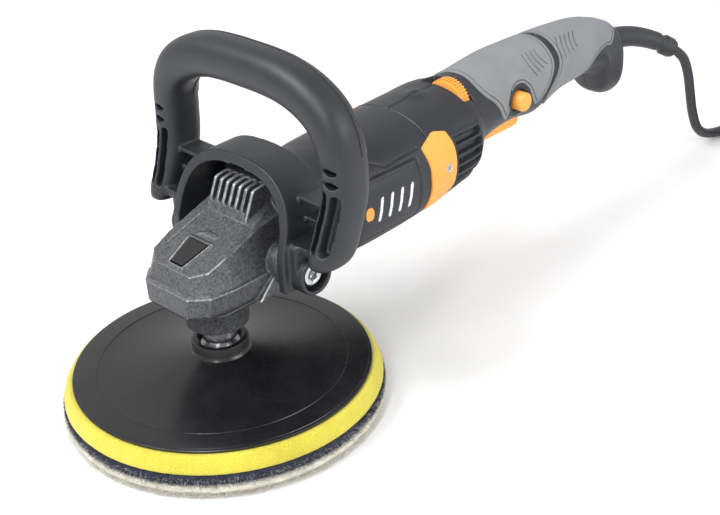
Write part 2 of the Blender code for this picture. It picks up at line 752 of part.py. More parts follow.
def make_gear_case():
    case = loft("gear_case", [case_ring(*row) for row in CASE])
    far = 0.06
    roof = [(-far, roof_height(-far)), (far, roof_height(far)), (far, 0.2), (-far, 0.2)]
    cut(case, plate("roof_cut", roof, -0.05, 0.05))
    join(case, cylinder("rear_flange", CASE_FLANGE_RADIUS, 0.034, CASE_REAR, 40, "X", (0, 0, MOTOR_HEIGHT)))
    vent = [(VENT_FRONT, roof_height(VENT_FRONT) - 0.002), (VENT_FRONT + 0.009, VENT_TOP),
            (0.0400, VENT_TOP + 0.002), (0.0400, 0.108), (VENT_FRONT, 0.108)]
    join(case, plate("vent_box", vent, -VENT_HALF_WIDTH, VENT_HALF_WIDTH))
    join(case, cylinder("bolt_bosses", 0.0110, -BOLT_BOSS_OUT, BOLT_BOSS_OUT, 24, "Y",
                        (LOOP_BOLT[0], 0, LOOP_BOLT[1])))
    for i in range(VENT_SLOTS):
        y = (i - (VENT_SLOTS - 1) / 2) * VENT_PITCH
        cut(case, block(f"vent_slot_{i}", (0.008, y - VENT_SLOT_WIDTH / 2, 0.1170),
                        (0.0290, y + VENT_SLOT_WIDTH / 2, 0.1400)))
    cut(case, cylinder("case_cavity", CASE_CAVITY_RADIUS, CASE_BOTTOM - 0.001, CASE_CAVITY_TOP, 36))
    cut(case, cylinder("pinion_tunnel", PINION_TUNNEL_RADIUS, 0.0120, 0.0330, 24, "X", (0, 0, MOTOR_HEIGHT)))
    cut(case, cylinder("bearing_seat", MOTOR_BEARING_RADIUS + FIT, FRONT_BEARING_X - GAP, 0.0500, 32, "X",
                       (0, 0, MOTOR_HEIGHT)))
    cut(case, cylinder("bush_seat", BUSH_RADIUS + FIT, CASE_CAVITY_TOP - 0.001, BUSH_TOP + GAP, 20))
    cut(case, plate("button_pocket", button_outline(0.0003), BUTTON_FLOOR - LOCK_TRAVEL - 0.0005, 0.13, "Z"))
    cut(case, cylinder("pin_hole", LOCK_PIN_RADIUS + 0.0004, 0.09, 0.1, 12, place=(LOCK_PIN_X, 0, 0)))
    for i, (x, y) in enumerate(screw_places()):
        cut(case, cylinder(f"screw_hole_{i}", FLANGE_SCREW_RADIUS + 0.0003, CASE_BOTTOM - 0.001,
                           FLANGE_SCREW_END + 0.001, 10,
                           place=(x, y, 0)))
    cut(case, bolt_hole("case_bolt_hole", -0.05, -0.0165))
    cut(case, bolt_hole("case_bolt_hole_far", 0.0165, 0.05))
    cast_metal(case)


def bolt_hole(name, low, high):
    return cylinder(name, BOLT_RADIUS + 0.0004, low, high, 16, "Y", (LOOP_BOLT[0], 0, LOOP_BOLT[1]))


def screw_places():
    return [(FLANGE_SCREW_CIRCLE * math.cos(a), FLANGE_SCREW_CIRCLE * math.sin(a))
            for a in (math.radians(45 + 90 * i) for i in range(4))]


def make_bearing_flange():
    top = CASE_BOTTOM - GAP
    seat = LOWER_BEARING_RADIUS + FIT
    rim_bottom = top - 0.0015
    flange = turned("bearing_flange", [
        (FLANGE_RADIUS, top), (FLANGE_RADIUS, rim_bottom), *FLANGE_CONE,
        (FLANGE_BOSS_RADIUS, FLANGE_BOTTOM + 0.001), (FLANGE_BOSS_RADIUS - 0.001, FLANGE_BOTTOM),
        (COLLAR_RADIUS + 0.0012, FLANGE_BOTTOM), (COLLAR_RADIUS + 0.0012, LOWER_BEARING_BOTTOM - GAP),
        (seat, LOWER_BEARING_BOTTOM - GAP), (seat, top)], 40)
    keep(flange, block("flange_sides", (-0.04, -FLANGE_HALF_WIDTH, 0.05), (0.04, FLANGE_HALF_WIDTH, 0.08)))
    for i, (x, y) in enumerate(screw_places()):
        place = (x, y, 0)
        cut(flange, cylinder(f"flange_hole_{i}", FLANGE_SCREW_RADIUS + 0.0003, FLANGE_BOTTOM - 0.001,
                             CASE_BOTTOM + 0.001, 10, place=place))
        cut(flange, cylinder(f"flange_seat_{i}", FLANGE_SCREW_HEAD + 0.0004, FLANGE_BOTTOM - 0.001,
                             rim_bottom - 0.0003, 14, place=place))
        head = rim_bottom - 0.0003 - GAP
        steel(turned(f"flange_screw_{i + 1}", [
            (0, FLANGE_SCREW_END), (FLANGE_SCREW_RADIUS, FLANGE_SCREW_END), (FLANGE_SCREW_RADIUS, head),
            (FLANGE_SCREW_HEAD, head), (FLANGE_SCREW_HEAD, head - 0.0014), (0.0022, head - 0.0022),
            (0, head - 0.0022)], 12, place=place))
    cast_metal(flange)


def make_spindle_lock():
    top = [(x, y, roof_height(x) + 0.0012) for x, y in button_outline()]
    bottom = [(x, y, BUTTON_FLOOR) for x, y in button_outline()]
    button = loft("spindle_lock_button", [bottom, top])
    tip = CROWN_WEB_TOP + 0.0012
    pin_place = (LOCK_PIN_X, 0, 0)
    join(button, cylinder("lock_pin", LOCK_PIN_RADIUS, tip, BUTTON_FLOOR + 0.001, 12, place=pin_place))
    black(button)


# ---- Motor ----------------------------------------------------------------------------------------


def make_motor():
    centre = (0, 0, MOTOR_HEIGHT)
    rear_end = REAR_BEARING_X + MOTOR_BEARING_WIDTH + 0.001
    shaft = turned("armature_shaft", [
        (0, rear_end), (SHAFT_RADIUS, rear_end), (SHAFT_RADIUS, FRONT_BEARING_X - 0.0005),
        (PINION_BORE - FIT, FRONT_BEARING_X - 0.0005), (PINION_BORE - FIT, 0.0218), (0, 0.0218)],
        20, "X", centre)
    steel(shaft)
    make_pinion()
    for name, x in (("front_bearing", FRONT_BEARING_X), ("rear_bearing", REAR_BEARING_X)):
        bearing(name, x, MOTOR_BEARING_WIDTH, MOTOR_BEARING_RADIUS, SHAFT_RADIUS, "X", centre)
    stator_outer = HOUSING_BORE - GAP
    rotor = stator_outer - STATOR_WALL - AIR_GAP
    bore = SHAFT_RADIUS + FIT
    core = tube("armature_core", rotor, bore, STATOR_X, STATOR_X + STATOR_LENGTH, 32, "X", centre)
    finish(core, (0.300, 0.290, 0.280), 0.40, 0.9)
    stator_rear = STATOR_X + STATOR_LENGTH
    stator = tube("stator", stator_outer, rotor + AIR_GAP, STATOR_X, stator_rear, 40, "X", centre)
    finish(stator, (0.350, 0.340, 0.330), 0.45, 0.9)
    commutator = tube("commutator", COMMUTATOR_RADIUS, bore, COMMUTATOR_X, COMMUTATOR_X + COMMUTATOR_LENGTH,
                      24, "X", centre)
    copper(commutator)
    make_fan(centre)
    make_brushes()
    make_bridge(centre)


def make_fan(centre):
    fan = turned("cooling_fan", [
        (FAN_RADIUS, FAN_X + 0.0020), (FAN_RADIUS, FAN_X), (SHAFT_RADIUS + FIT, FAN_X),
        (SHAFT_RADIUS + FIT, FAN_X + FAN_LENGTH), (0.0090, FAN_X + FAN_LENGTH), (0.0090, FAN_X + 0.0020)],
        36, "X", centre)
    for i in range(FAN_BLADES):
        angle = 2 * math.pi * i / FAN_BLADES
        blade = block(f"fan_blade_{i}", (FAN_X + 0.001, -0.0008, 0.0105),
                      (FAN_X + FAN_LENGTH, 0.0008, FAN_RADIUS - 0.0007))
        blade.location = centre
        blade.rotation_euler = (angle, 0, 0)
        join(fan, blade)
    black(fan)


def make_brushes():
    inner = COMMUTATOR_RADIUS + 0.0005
    for side, word in ((-1, "left"), (1, "right")):
        near, far = sorted((side * (inner + 0.0025), side * (HOUSING_BORE - 0.0030)))
        holder = block(f"brush_holder_{word}", (BRUSH_X - 0.0060, near, MOTOR_HEIGHT - 0.0062),
                       (BRUSH_X + 0.0060, far, MOTOR_HEIGHT + 0.0062))
        cut(holder, block(f"brush_slot_{word}", (BRUSH_X - 0.0035, near - 0.01, MOTOR_HEIGHT - 0.0045),
                          (BRUSH_X + 0.0035, far + 0.01, MOTOR_HEIGHT + 0.0045)))
        brass(holder)
        low, high = sorted((side * inner, side * (inner + BRUSH_LENGTH)))
        brush = block(f"carbon_brush_{word}", (BRUSH_X - 0.0032, low, MOTOR_HEIGHT - 0.0042),
                      (BRUSH_X + 0.0032, high, MOTOR_HEIGHT + 0.0042))
        finish(brush, (0.030, 0.030, 0.030), 0.60, 0.3)


def make_bridge(centre):
    """The web that carries the rear motor bearing, with openings for the cooling air."""
    rear = REAR_BEARING_X + MOTOR_BEARING_WIDTH
    bridge = turned("bearing_bridge", [
        (HOUSING_BORE - 0.0035, rear), (HOUSING_BORE - 0.0035, BRIDGE_X), (SHAFT_RADIUS + 0.0025, BRIDGE_X),
        (SHAFT_RADIUS + 0.0025, REAR_BEARING_X - GAP), (MOTOR_BEARING_RADIUS + FIT, REAR_BEARING_X - GAP),
        (MOTOR_BEARING_RADIUS + FIT, rear)], 32, "X", centre)
    for i in range(4):
        angle = math.radians(45 + 90 * i)
        y, z = BRIDGE_HOLE_CIRCLE * math.cos(angle), BRIDGE_HOLE_CIRCLE * math.sin(angle)
        cut(bridge, cylinder(f"air_hole_{i}", BRIDGE_HOLE_RADIUS, BRIDGE_X - 0.002, rear + 0.002, 12, "X",
                             (0, y, MOTOR_HEIGHT + z)))
    black(bridge)


# ---- Body shells ----------------------------------------------------------------------------------


def side_block(name, side, x_range, z_range, near=0.0, far=0.08):
    low, high = sorted((side * near, side * far))
    return block(name, (x_range[0], low, z_range[0]), (x_range[1], high, z_range[1]))


def cover_region(name, side, grow):
    outline = [(COVER_FRONT, COVER_BOTTOM), (COVER_REAR - 0.006, COVER_BOTTOM),
               (COVER_REAR, COVER_BOTTOM + 0.012),
               (COVER_REAR, COVER_TOP - 0.006), (COVER_REAR - 0.004, COVER_TOP),
               (COVER_FRONT + 0.012, COVER_TOP),
               (COVER_FRONT, COVER_TOP - 0.008)]
    return side_prism(name, outline, side, grow)


def side_prism(name, outline, side, grow=0.0):
    """An outline in X and Z, grown by a little, and carried from the middle plane out past one side."""
    low, high = sorted((0.0, side * 0.08))
    return plate(name, grown(outline, grow), low, high)


def grown(outline, amount):
    """The outline moved outwards by an amount, for a pocket round the piece."""
    points = [Vector(p) for p in outline]
    area = sum(a.x * b.y - b.x * a.y for a, b in zip(points, points[1:] + points[:1]))
    turn = 1 if area > 0 else -1
    moved = []
    for before, here, after in zip(points[-1:] + points, points, points[1:] + points[:1]):
        one = (here - before).normalized()
        two = (after - here).normalized()
        normal = Vector((one.y + two.y, -(one.x + two.x))) * turn
        scale = amount / max(0.3, normal.length_squared / 2)
        moved.append(here + normal * scale)
    return [tuple(p) for p in moved]


def make_motor_housing():
    housing = body_loft("motor_housing", HOUSING_FRONT, HOUSING_REAR)
    cut(housing, cylinder("housing_bore", HOUSING_BORE, HOUSING_FRONT - 0.002, HOUSING_REAR + 0.002, 40, "X",
                          (0, 0, MOTOR_HEIGHT)))
    for side, word in ((-1, "left"), (1, "right")):
        cut_cover_pocket(housing, side, f"housing_{word}")
        cut(housing, panel_region(f"panel_pocket_{word}", side, GAP))
    charcoal(housing)


def cut_cover_pocket(target, side, word):
    """Removes the skin where a brush cover sits, and the hole of its screw."""
    pocket = cover_region(f"cover_pocket_{word}", side, GAP)
    cut(pocket, body_loft(f"cover_floor_{word}", COVER_FRONT - 0.004, COVER_REAR + 0.004,
                          -COVER_DEPTH - GAP))
    cut(target, pocket)
    cut(target, cylinder(f"cover_screw_hole_{word}", 0.0017, *sorted((side * 0.030, side * 0.0450)), 10, "Y",
                         COVER_SCREW))


def panel_region(name, side, grow):
    low, high = sorted((side * (PANEL_LIP - grow), side * 0.08))
    return plate(name, grown(PANEL_OUTLINE, grow), low, high)


def make_trim():
    """Side panels and brush covers, set flush into the body."""
    for side, word in ((-1, "left"), (1, "right")):
        panel = body_loft(f"side_panel_{word}", PANEL_FRONT - 0.003, PANEL_REAR + 0.003, -0.0003)
        keep(panel, panel_region(f"panel_shape_{word}", side, 0.0))
        black(panel)
        cover = skin_piece(f"brush_cover_{word}", COVER_FRONT - 0.003, COVER_REAR + 0.003, 0.0004,
                           -COVER_DEPTH, cover_region(f"cover_shape_{word}", side, 0.0))
        reach = sorted((side * 0.030, side * 0.0450))
        cut(cover, cylinder(f"cover_bore_{word}", 0.0017, *reach, 10, "Y", COVER_SCREW))
        counterbore = sorted((side * 0.0396, side * 0.0450))
        cut(cover, cylinder(f"cover_sink_{word}", 0.0029, *counterbore, 14, "Y", COVER_SCREW))
        orange(cover)
        head = side * 0.0399
        screw = turned(f"cover_screw_{word}", [(0, 0.0), (0.0024, 0.0), (0.0024, -0.0008), (0.0013, -0.0008),
                                              (0.0013, -0.0080), (0, -0.0080)], 14,
                       place=(COVER_SCREW[0], head + side * 0.0008, COVER_SCREW[2]))
        screw.rotation_euler = (side * -math.pi / 2, 0, 0)
        steel(screw)


def make_handle_shells():
    for side, word in ((-1, "left"), (1, "right")):
        shell = body_loft(f"handle_shell_{word}", HOUSING_REAR + GAP, BODY[-1][0])
        cut(shell, body_loft(f"shell_core_{word}", HOUSING_REAR - 0.002, BODY[-3][0], -SHELL_WALL))
        keep(shell, half_space(f"half_{word}", side))
        cut_cover_pocket(shell, side, f"shell_{word}")
        cut(shell, block(f"trigger_slot_{word}", (TRIGGER_FRONT - 0.0005, -TRIGGER_HALF_WIDTH - 0.0005, 0.05),
                         (TRIGGER_REAR + 0.0015, TRIGGER_HALF_WIDTH + 0.0005, 0.1000)))
        cut(shell, cylinder(f"relief_hole_{word}", RELIEF_RADII[0] + RELIEF_CLEARANCE,
                            RELIEF_ROUTE[0][0] - 0.012, BODY[-1][0] + 0.005, 20, "X",
                            (0, 0, RELIEF_ROUTE[0][2])))
        cut(shell, dial_slot(f"dial_slot_{word}"))
        for end, outline, start, stop in grip_regions():
            pocket = side_prism(f"grip_pocket_{end}_{word}", outline, side, GAP)
            cut(pocket, body_loft(f"grip_floor_{end}_{word}", start, stop, -GRIP_DEPTH - GAP))
            cut(shell, pocket)
        if side < 0:
            cut(shell, cylinder("button_hole", BUTTON_RADIUS + 0.0004, -0.040, -0.015, 20, "Y",
                                (BUTTON_PLACE[0], 0, BUTTON_PLACE[1])))
        charcoal(shell)


def grip_regions():
    """Name, outline and the ends of the body stretch of each grip."""
    return (("front", GRIP_FRONT, 0.1920, 0.2860), ("rear", GRIP_REAR, 0.2500, 0.3600))


def make_grips():
    for side, word in ((-1, "left"), (1, "right")):
        for end, outline, start, stop in grip_regions():
            region = side_prism(f"grip_shape_{end}_{word}", outline, side)
            keep(region, half_space(f"grip_half_{end}_{word}", side))
            grip = skin_piece(f"grip_{end}_{word}", start, stop, 0.0006, -GRIP_DEPTH, region)
            grey_grip(grip)


def dial_slot(name):
    x, y, z = DIAL_CENTRE
    half = DIAL_WIDTH / 2 + 0.0005
    return cylinder(name, DIAL_RADIUS + 0.0006, x - half, x + half, 32, "X", (0, y, z))


# ---- Controls -------------------------------------------------------------------------------------


def make_controls():
    trigger = plate("trigger", [
        (TRIGGER_FRONT, TRIGGER_BOTTOM + 0.003), (TRIGGER_FRONT + 0.006, TRIGGER_BOTTOM),
        (TRIGGER_REAR - 0.003, TRIGGER_BOTTOM), (TRIGGER_REAR, TRIGGER_BOTTOM + 0.003),
        (TRIGGER_REAR, TRIGGER_TOP - 0.001), (TRIGGER_FRONT, TRIGGER_TOP)],
        -TRIGGER_HALF_WIDTH, TRIGGER_HALF_WIDTH)
    set_origin(trigger, (TRIGGER_PIVOT[0], 0, TRIGGER_PIVOT[1]))
    orange(trigger)

    out = 0.0245
    button = turned("lock_on_button", [(0, 0.0060), (BUTTON_RADIUS - 0.0010, 0.0060), (BUTTON_RADIUS, 0.0050),
                                       (BUTTON_RADIUS, -0.0040), (0.0030, -0.0040), (0.0030, -0.0080),
                                       (0, -0.0080)], 24, place=(BUTTON_PLACE[0], -out, BUTTON_PLACE[1]))
    button.rotation_euler = (math.pi / 2, 0, 0)
    orange(button)

    half = DIAL_WIDTH / 2
    dial = tube("speed_dial", DIAL_RADIUS, 0.0030 + FIT, -half, half, 36, "X", DIAL_CENTRE)
    orange(dial)
    make_electrics()


def make_electrics():
    switch = block("switch_body", (0.2060, -0.0085, 0.1010), (0.2440, 0.0085, 0.1200))
    black(switch)
    x, y, z = DIAL_CENTRE
    board_x = x + DIAL_WIDTH / 2 + 0.0010
    board = block("speed_control_board", (board_x, -0.0160, 0.0960), (board_x + 0.0020, 0.0130, 0.1220))
    join(board, cylinder("dial_shaft", 0.0030, x - 0.0040, board_x + 0.0005, 14, "X", (0, y, z)))
    finish(board, (0.050, 0.200, 0.090), 0.50)


def set_origin(obj, place):
    """Moves the object's origin to a place without moving its mesh in the world."""
    shift = Vector(place)
    for vert in obj.data.vertices:
        vert.co -= shift
    obj.location = shift


# ---- Loop handle ----------------------------------------------------------------------------------


def loop_rows():
    """The loop from one foot to the other."""
    left = [(x, -y, z, depth, width) for x, y, z, depth, width in LOOP]
    middle = [(LOOP[-1][0], 0.0, LOOP_BAR_HEIGHT, LOOP[-1][3], LOOP[-1][4])]
    return left + middle + list(reversed(LOOP))


def loop_ring(rows, i, offset):
    x, y, z, depth, width = rows[i]
    before, after = rows[max(i - 1, 0)], rows[min(i + 1, len(rows) - 1)]
    along = Vector((after[1] - before[1], after[2] - before[2])).normalized()
    across = Vector((-along.y, along.x))
    ring = []
    for a, b in superellipse(depth + offset, width + offset, 2.4, LOOP_AROUND):
        ring.append((x + a, y + across.x * b, z + across.y * b))
    return ring


def loop_tube(name, offset=0.0):
    rows = loop_rows()
    return loft(name, [loop_ring(rows, i, offset) for i in range(len(rows))])


def arch(half_width, rise, steps, start=0.0, end=180.0):
    """Points of the arch's curve, which is squarer than a circle, from one side to the other."""
    points = []
    for i in range(steps + 1):
        angle = math.radians(start + (end - start) * i / steps)
        c, s = math.cos(angle), max(math.sin(angle), 0.0)
        y = half_width * math.copysign(abs(c) ** (2 / LOOP_ARCH_SQUARE), c)
        points.append((y, LOOP_ARCH_HEIGHT + rise * s ** (2 / LOOP_ARCH_SQUARE)))
    return points


def saddle_outline():
    """The arch seen from the front, with its two cheeks, as (y, z)."""
    outer = LOOP_ARCH_INNER + LOOP_ARCH_WALL
    foot = LOOP_BOLT[1] - BOSS_RADIUS + 0.003
    return ([(outer, foot)] + arch(outer, LOOP_ARCH_RISE + LOOP_ARCH_WALL, 28)
            + [(-outer, foot), (-LOOP_ARCH_INNER, foot)]
            + arch(LOOP_ARCH_INNER, LOOP_ARCH_RISE, 28, 180.0, 0.0) + [(LOOP_ARCH_INNER, foot)])


def make_loop_handle():
    handle = plate("loop_handle", saddle_outline(), LOOP_FRONT, LOOP_REAR, "X")
    top = 0.2
    lean = LOOP_FRONT + (top - LOOP_ARCH_HEIGHT) * LOOP_FRONT_SLOPE
    cut(handle, plate("front_lean", [(-0.05, LOOP_ARCH_HEIGHT), (LOOP_FRONT, LOOP_ARCH_HEIGHT), (lean, top),
                                     (-0.05, top)], -0.07, 0.07))
    join(handle, loop_tube("loop_legs"))
    outer = LOOP_ARCH_INNER + LOOP_ARCH_WALL
    for side, word in ((-1, "left"), (1, "right")):
        near = outer - 0.003
        join(handle, side_block(f"shelf_{word}", side, (0.0185, LOOP_REAR - 0.005), (0.1040, 0.1085),
                                near, 0.062))
        for k, z in enumerate((0.1180, 0.1270)):
            rise = (z + 0.0025 - LOOP_ARCH_HEIGHT) / (LOOP_ARCH_RISE + LOOP_ARCH_WALL)
            reach = outer * (1 - rise ** LOOP_ARCH_SQUARE) ** (1 / LOOP_ARCH_SQUARE) - 0.002
            join(handle, side_block(f"rib_{k}_{word}", side, (0.0310, 0.0460), (z, z + 0.0025),
                                    reach, 0.061))
        low, high = sorted((side * near, side * CUP_OUT))
        place = (LOOP_BOLT[0], 0, LOOP_BOLT[1])
        join(handle, cylinder(f"boss_{word}", BOSS_RADIUS, low, high, 28, "Y", place))
        low, high = sorted((side * (outer - 0.0005), side * 0.08))
        cut(handle, cylinder(f"cup_{word}", CUP_RADIUS, low, high, 28, "Y", place))
        low, high = sorted((side * 0.03, side * 0.08))
        cut(handle, bolt_hole(f"loop_bolt_hole_{word}", low, high))
        bolt = turned(f"handle_bolt_{word}", [
            (0, BOLT_HEAD_HEIGHT), (BOLT_HEAD_RADIUS - 0.001, BOLT_HEAD_HEIGHT),
            (BOLT_HEAD_RADIUS, BOLT_HEAD_HEIGHT - 0.001), (BOLT_HEAD_RADIUS, 0), (BOLT_RADIUS, 0),
            (BOLT_RADIUS, -0.0180), (0, -0.0180)], 24,
            place=(LOOP_BOLT[0], side * (outer - 0.0005 + GAP), LOOP_BOLT[1]))
        bolt.rotation_euler = (side * -math.pi / 2, 0, 0)
        cut(bolt, hex_socket(f"bolt_socket_{word}", side, outer))
        steel(bolt)
    pocket = block("insert_pocket", (INSERT_CUT_X, -0.1, INSERT_CUT_Z), (0.1, 0.1, 0.3))
    cut(pocket, loop_tube("insert_floor", -INSERT_DEPTH - GAP))
    cut(handle, pocket)
    charcoal(handle)

    cover = loop_tube("loop_handle_cover")
    cut(cover, loop_tube("cover_core", -INSERT_DEPTH))
    keep(cover, block("cover_region", (INSERT_CUT_X + GAP, -0.1, INSERT_CUT_Z + GAP), (0.1, 0.1, 0.3)))
    charcoal(cover)


def hex_socket(name, side, outer):
    low = outer - 0.0005 + GAP + BOLT_HEAD_HEIGHT - 0.0028
    low, high = sorted((side * low, side * 0.07))
    return cylinder(name, 0.0029, low, high, 6, "Y", (LOOP_BOLT[0], 0, LOOP_BOLT[1]))


# ---- Cord -----------------------------------------------------------------------------------------


def make_strain_relief():
    """A tapered rubber sleeve with a collar at its end, bent along the cord."""
    route = smooth_route(RELIEF_ROUTE, 4)
    rings = []
    last = len(route) - 1
    for i, place in enumerate(route):
        along = (route[min(i + 1, last)] - route[max(i - 1, 0)]).normalized()
        side = along.cross(Vector((0, 0, 1))).normalized()
        up = side.cross(along)
        share = i / last * (len(RELIEF_RADII) - 1)
        k = min(int(share), len(RELIEF_RADII) - 2)
        radius = RELIEF_RADII[k] + (RELIEF_RADII[k + 1] - RELIEF_RADII[k]) * (share - k)
        if i >= last - 2:
            radius = RELIEF_RADII[-1] + 0.0013
        angles = [2 * math.pi * j / 14 for j in range(14)]
        rings.append([tuple(place + (side * math.cos(a) + up * math.sin(a)) * radius) for a in angles])
    rubber(loft("strain_relief", rings))


def make_cord():
    make_strain_relief()
    rubber(wire("cord", smooth_route(CORD_ROUTE, 5), CORD_RADIUS))
    rubber(wire("cord_tail", smooth_route(TAIL_ROUTE, 4), CORD_RADIUS))
    inner, outer = COIL_RADIUS - COIL_HALF_WIDTH, COIL_RADIUS + COIL_HALF_WIDTH
    edge = 0.004
    coil = turned("cord_coil", [
        (outer - edge, COIL_HEIGHT), (outer, COIL_HEIGHT - edge), (outer, edge), (outer - edge, 0),
        (inner + edge, 0), (inner, edge), (inner, COIL_HEIGHT - edge), (inner + edge, COIL_HEIGHT)],
        40, place=(*COIL_CENTRE, 0))
    rubber(coil)


def make_plug():
    """A two-pin mains plug that lies on the floor."""
    _, y, z = TAIL_ROUTE[-1]
    rings = []
    for along, half_width, half_height in PLUG_SECTIONS:
        shape = superellipse(half_width, half_height, 2.6, 20)
        rings.append([(PLUG_REAR - along, y + a, z + b) for a, b in shape])
    plug = loft("plug", rings)
    face = PLUG_REAR - PLUG_SECTIONS[-1][0]
    for side in (-1, 1):
        place = (0, y + side * PIN_SPREAD, z)
        join(plug, cylinder(f"plug_pin_{side + 1}", PIN_RADIUS, face - PIN_LENGTH, face + 0.004, 12,
                            "X", place))
    rubber(plug)


def make_all():
    make_pads()
    make_backing_plate()
    make_spindle_group()
    make_gear_case()
    make_bearing_flange()
    make_spindle_lock()
    make_motor()
    make_motor_housing()
    make_trim()
    make_handle_shells()
    make_grips()
    make_controls()
    make_loop_handle()
    make_cord()
    make_plug()


make_all()
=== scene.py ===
# %% [markdown]
# # A rotary polisher, dressed for its portrait
# The solid model gives a fixed frame: every solid, and the joint that it moves on. Finished surfaces go
# round it piece by piece.

# %% The frame
import json
import math
import random

import bmesh
import bpy
import numpy as np
from mathutils import Matrix, Vector, geometry

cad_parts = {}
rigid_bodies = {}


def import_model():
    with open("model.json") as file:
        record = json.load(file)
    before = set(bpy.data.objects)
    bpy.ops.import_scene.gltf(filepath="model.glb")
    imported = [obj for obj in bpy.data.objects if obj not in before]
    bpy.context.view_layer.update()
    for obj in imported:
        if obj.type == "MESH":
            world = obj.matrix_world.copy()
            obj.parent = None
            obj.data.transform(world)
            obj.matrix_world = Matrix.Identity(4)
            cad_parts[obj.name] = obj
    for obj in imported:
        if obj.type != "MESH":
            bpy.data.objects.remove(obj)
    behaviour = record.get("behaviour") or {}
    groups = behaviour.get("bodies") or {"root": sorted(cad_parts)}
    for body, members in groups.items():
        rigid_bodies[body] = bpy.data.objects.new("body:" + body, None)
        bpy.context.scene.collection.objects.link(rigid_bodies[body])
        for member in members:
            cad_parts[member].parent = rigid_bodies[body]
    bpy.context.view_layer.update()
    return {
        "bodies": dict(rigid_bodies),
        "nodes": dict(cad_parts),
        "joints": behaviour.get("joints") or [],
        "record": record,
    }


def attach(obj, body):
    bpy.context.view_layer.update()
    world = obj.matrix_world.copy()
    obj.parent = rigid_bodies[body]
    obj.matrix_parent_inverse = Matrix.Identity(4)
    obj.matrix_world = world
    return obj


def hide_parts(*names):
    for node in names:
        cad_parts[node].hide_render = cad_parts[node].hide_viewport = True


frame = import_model()
nodes = frame["nodes"]

# %% [markdown]
# The polisher stands on its pad and is seen from above its nose, from the side with the lock-on button.
# A long lens gives little perspective. The camera is set by its place and by three axes of its own.

# %% Camera
camera_data = bpy.data.cameras.new("camera")
camera_data.sensor_width = 36.0
camera_data.lens = 72.5
camera_data.shift_x = 0.0018
camera_data.shift_y = 0.0016
camera_data.clip_start = 0.01
camera = bpy.data.objects.new("camera", camera_data)
bpy.context.scene.collection.objects.link(camera)
bpy.context.scene.camera = camera
right = Vector((0.6994, -0.7126, -0.0547))
up = Vector((0.3849, 0.3111, 0.8689))
back = right.cross(up).normalized()
axes = Matrix((right, up, back)).transposed().to_4x4()
camera.matrix_world = Matrix.Translation((-0.4157, -0.5495, 0.4724)) @ axes

# %% [markdown]
# A white room has one large soft lamp up at the left, which draws the long highlight on the loop, a
# second one low at the right, and a strip above the nose for the paint.

# %% Lights and floor
scene = bpy.context.scene
scene.view_settings.view_transform = "Standard"
world = bpy.data.worlds.new("studio")
world.use_nodes = True
world.node_tree.nodes["Background"].inputs["Color"].default_value = (1.0, 1.0, 1.0, 1.0)
world.node_tree.nodes["Background"].inputs["Strength"].default_value = 0.85
scene.world = world


def lamp(name, place, target, size, power):
    data = bpy.data.lights.new(name, "AREA")
    data.shape = "RECTANGLE"
    data.size, data.size_y = size
    data.energy = power
    made = bpy.data.objects.new(name, data)
    scene.collection.objects.link(made)
    made.location = place
    made.rotation_euler = (Vector(target) - Vector(place)).to_track_quat("-Z", "Y").to_euler()


lamp("key", (-0.9, 0.5, 1.5), (0.05, 0.0, 0.1), (0.9, 0.5), 22)
lamp("fill", (0.5, -1.4, 0.7), (0.15, 0.0, 0.08), (0.9, 0.5), 9)
lamp("strip", (-0.9, -0.5, 1.0), (0.0, 0.0, 0.08), (0.15, 0.8), 7)

# %% [markdown]
# ## Finishes
# A finish is a Principled shader with texture nodes for what varies over the surface. They read Object
# coordinates in metres, so a scale of 900 gives a grain of about a millimetre. Every finish has a colour
# that drifts between two tones, a roughness that drifts with it, and a bump.


# %% Helper for finishes
def add_node(tree, kind, output, values, **settings):
    """A new node's output. Each value goes to its input, as a number or as a link from another output."""
    node = tree.nodes.new("ShaderNode" + kind)
    for key, value in settings.items():
        setattr(node, key, value)
    for key, value in values.items():
        if isinstance(value, bpy.types.NodeSocket):
            tree.links.new(value, node.inputs[key])
        else:
            node.inputs[key].default_value = value
    return node.outputs[output]


def ramp(tree, value, low, high, start, end):
    """Maps a value between two stops to a range of numbers."""
    return add_node(tree, "MapRange", "Result",
                    {"Value": value, "From Min": low, "From Max": high, "To Min": start, "To Max": end})


def blend_tones(tree, factor, *tones):
    tones = [(*tone, 1.0) if isinstance(tone, tuple) else tone for tone in tones]
    return add_node(tree, "Mix", 2, {"Factor": factor, 6: tones[0], 7: tones[1]}, data_type="RGBA")


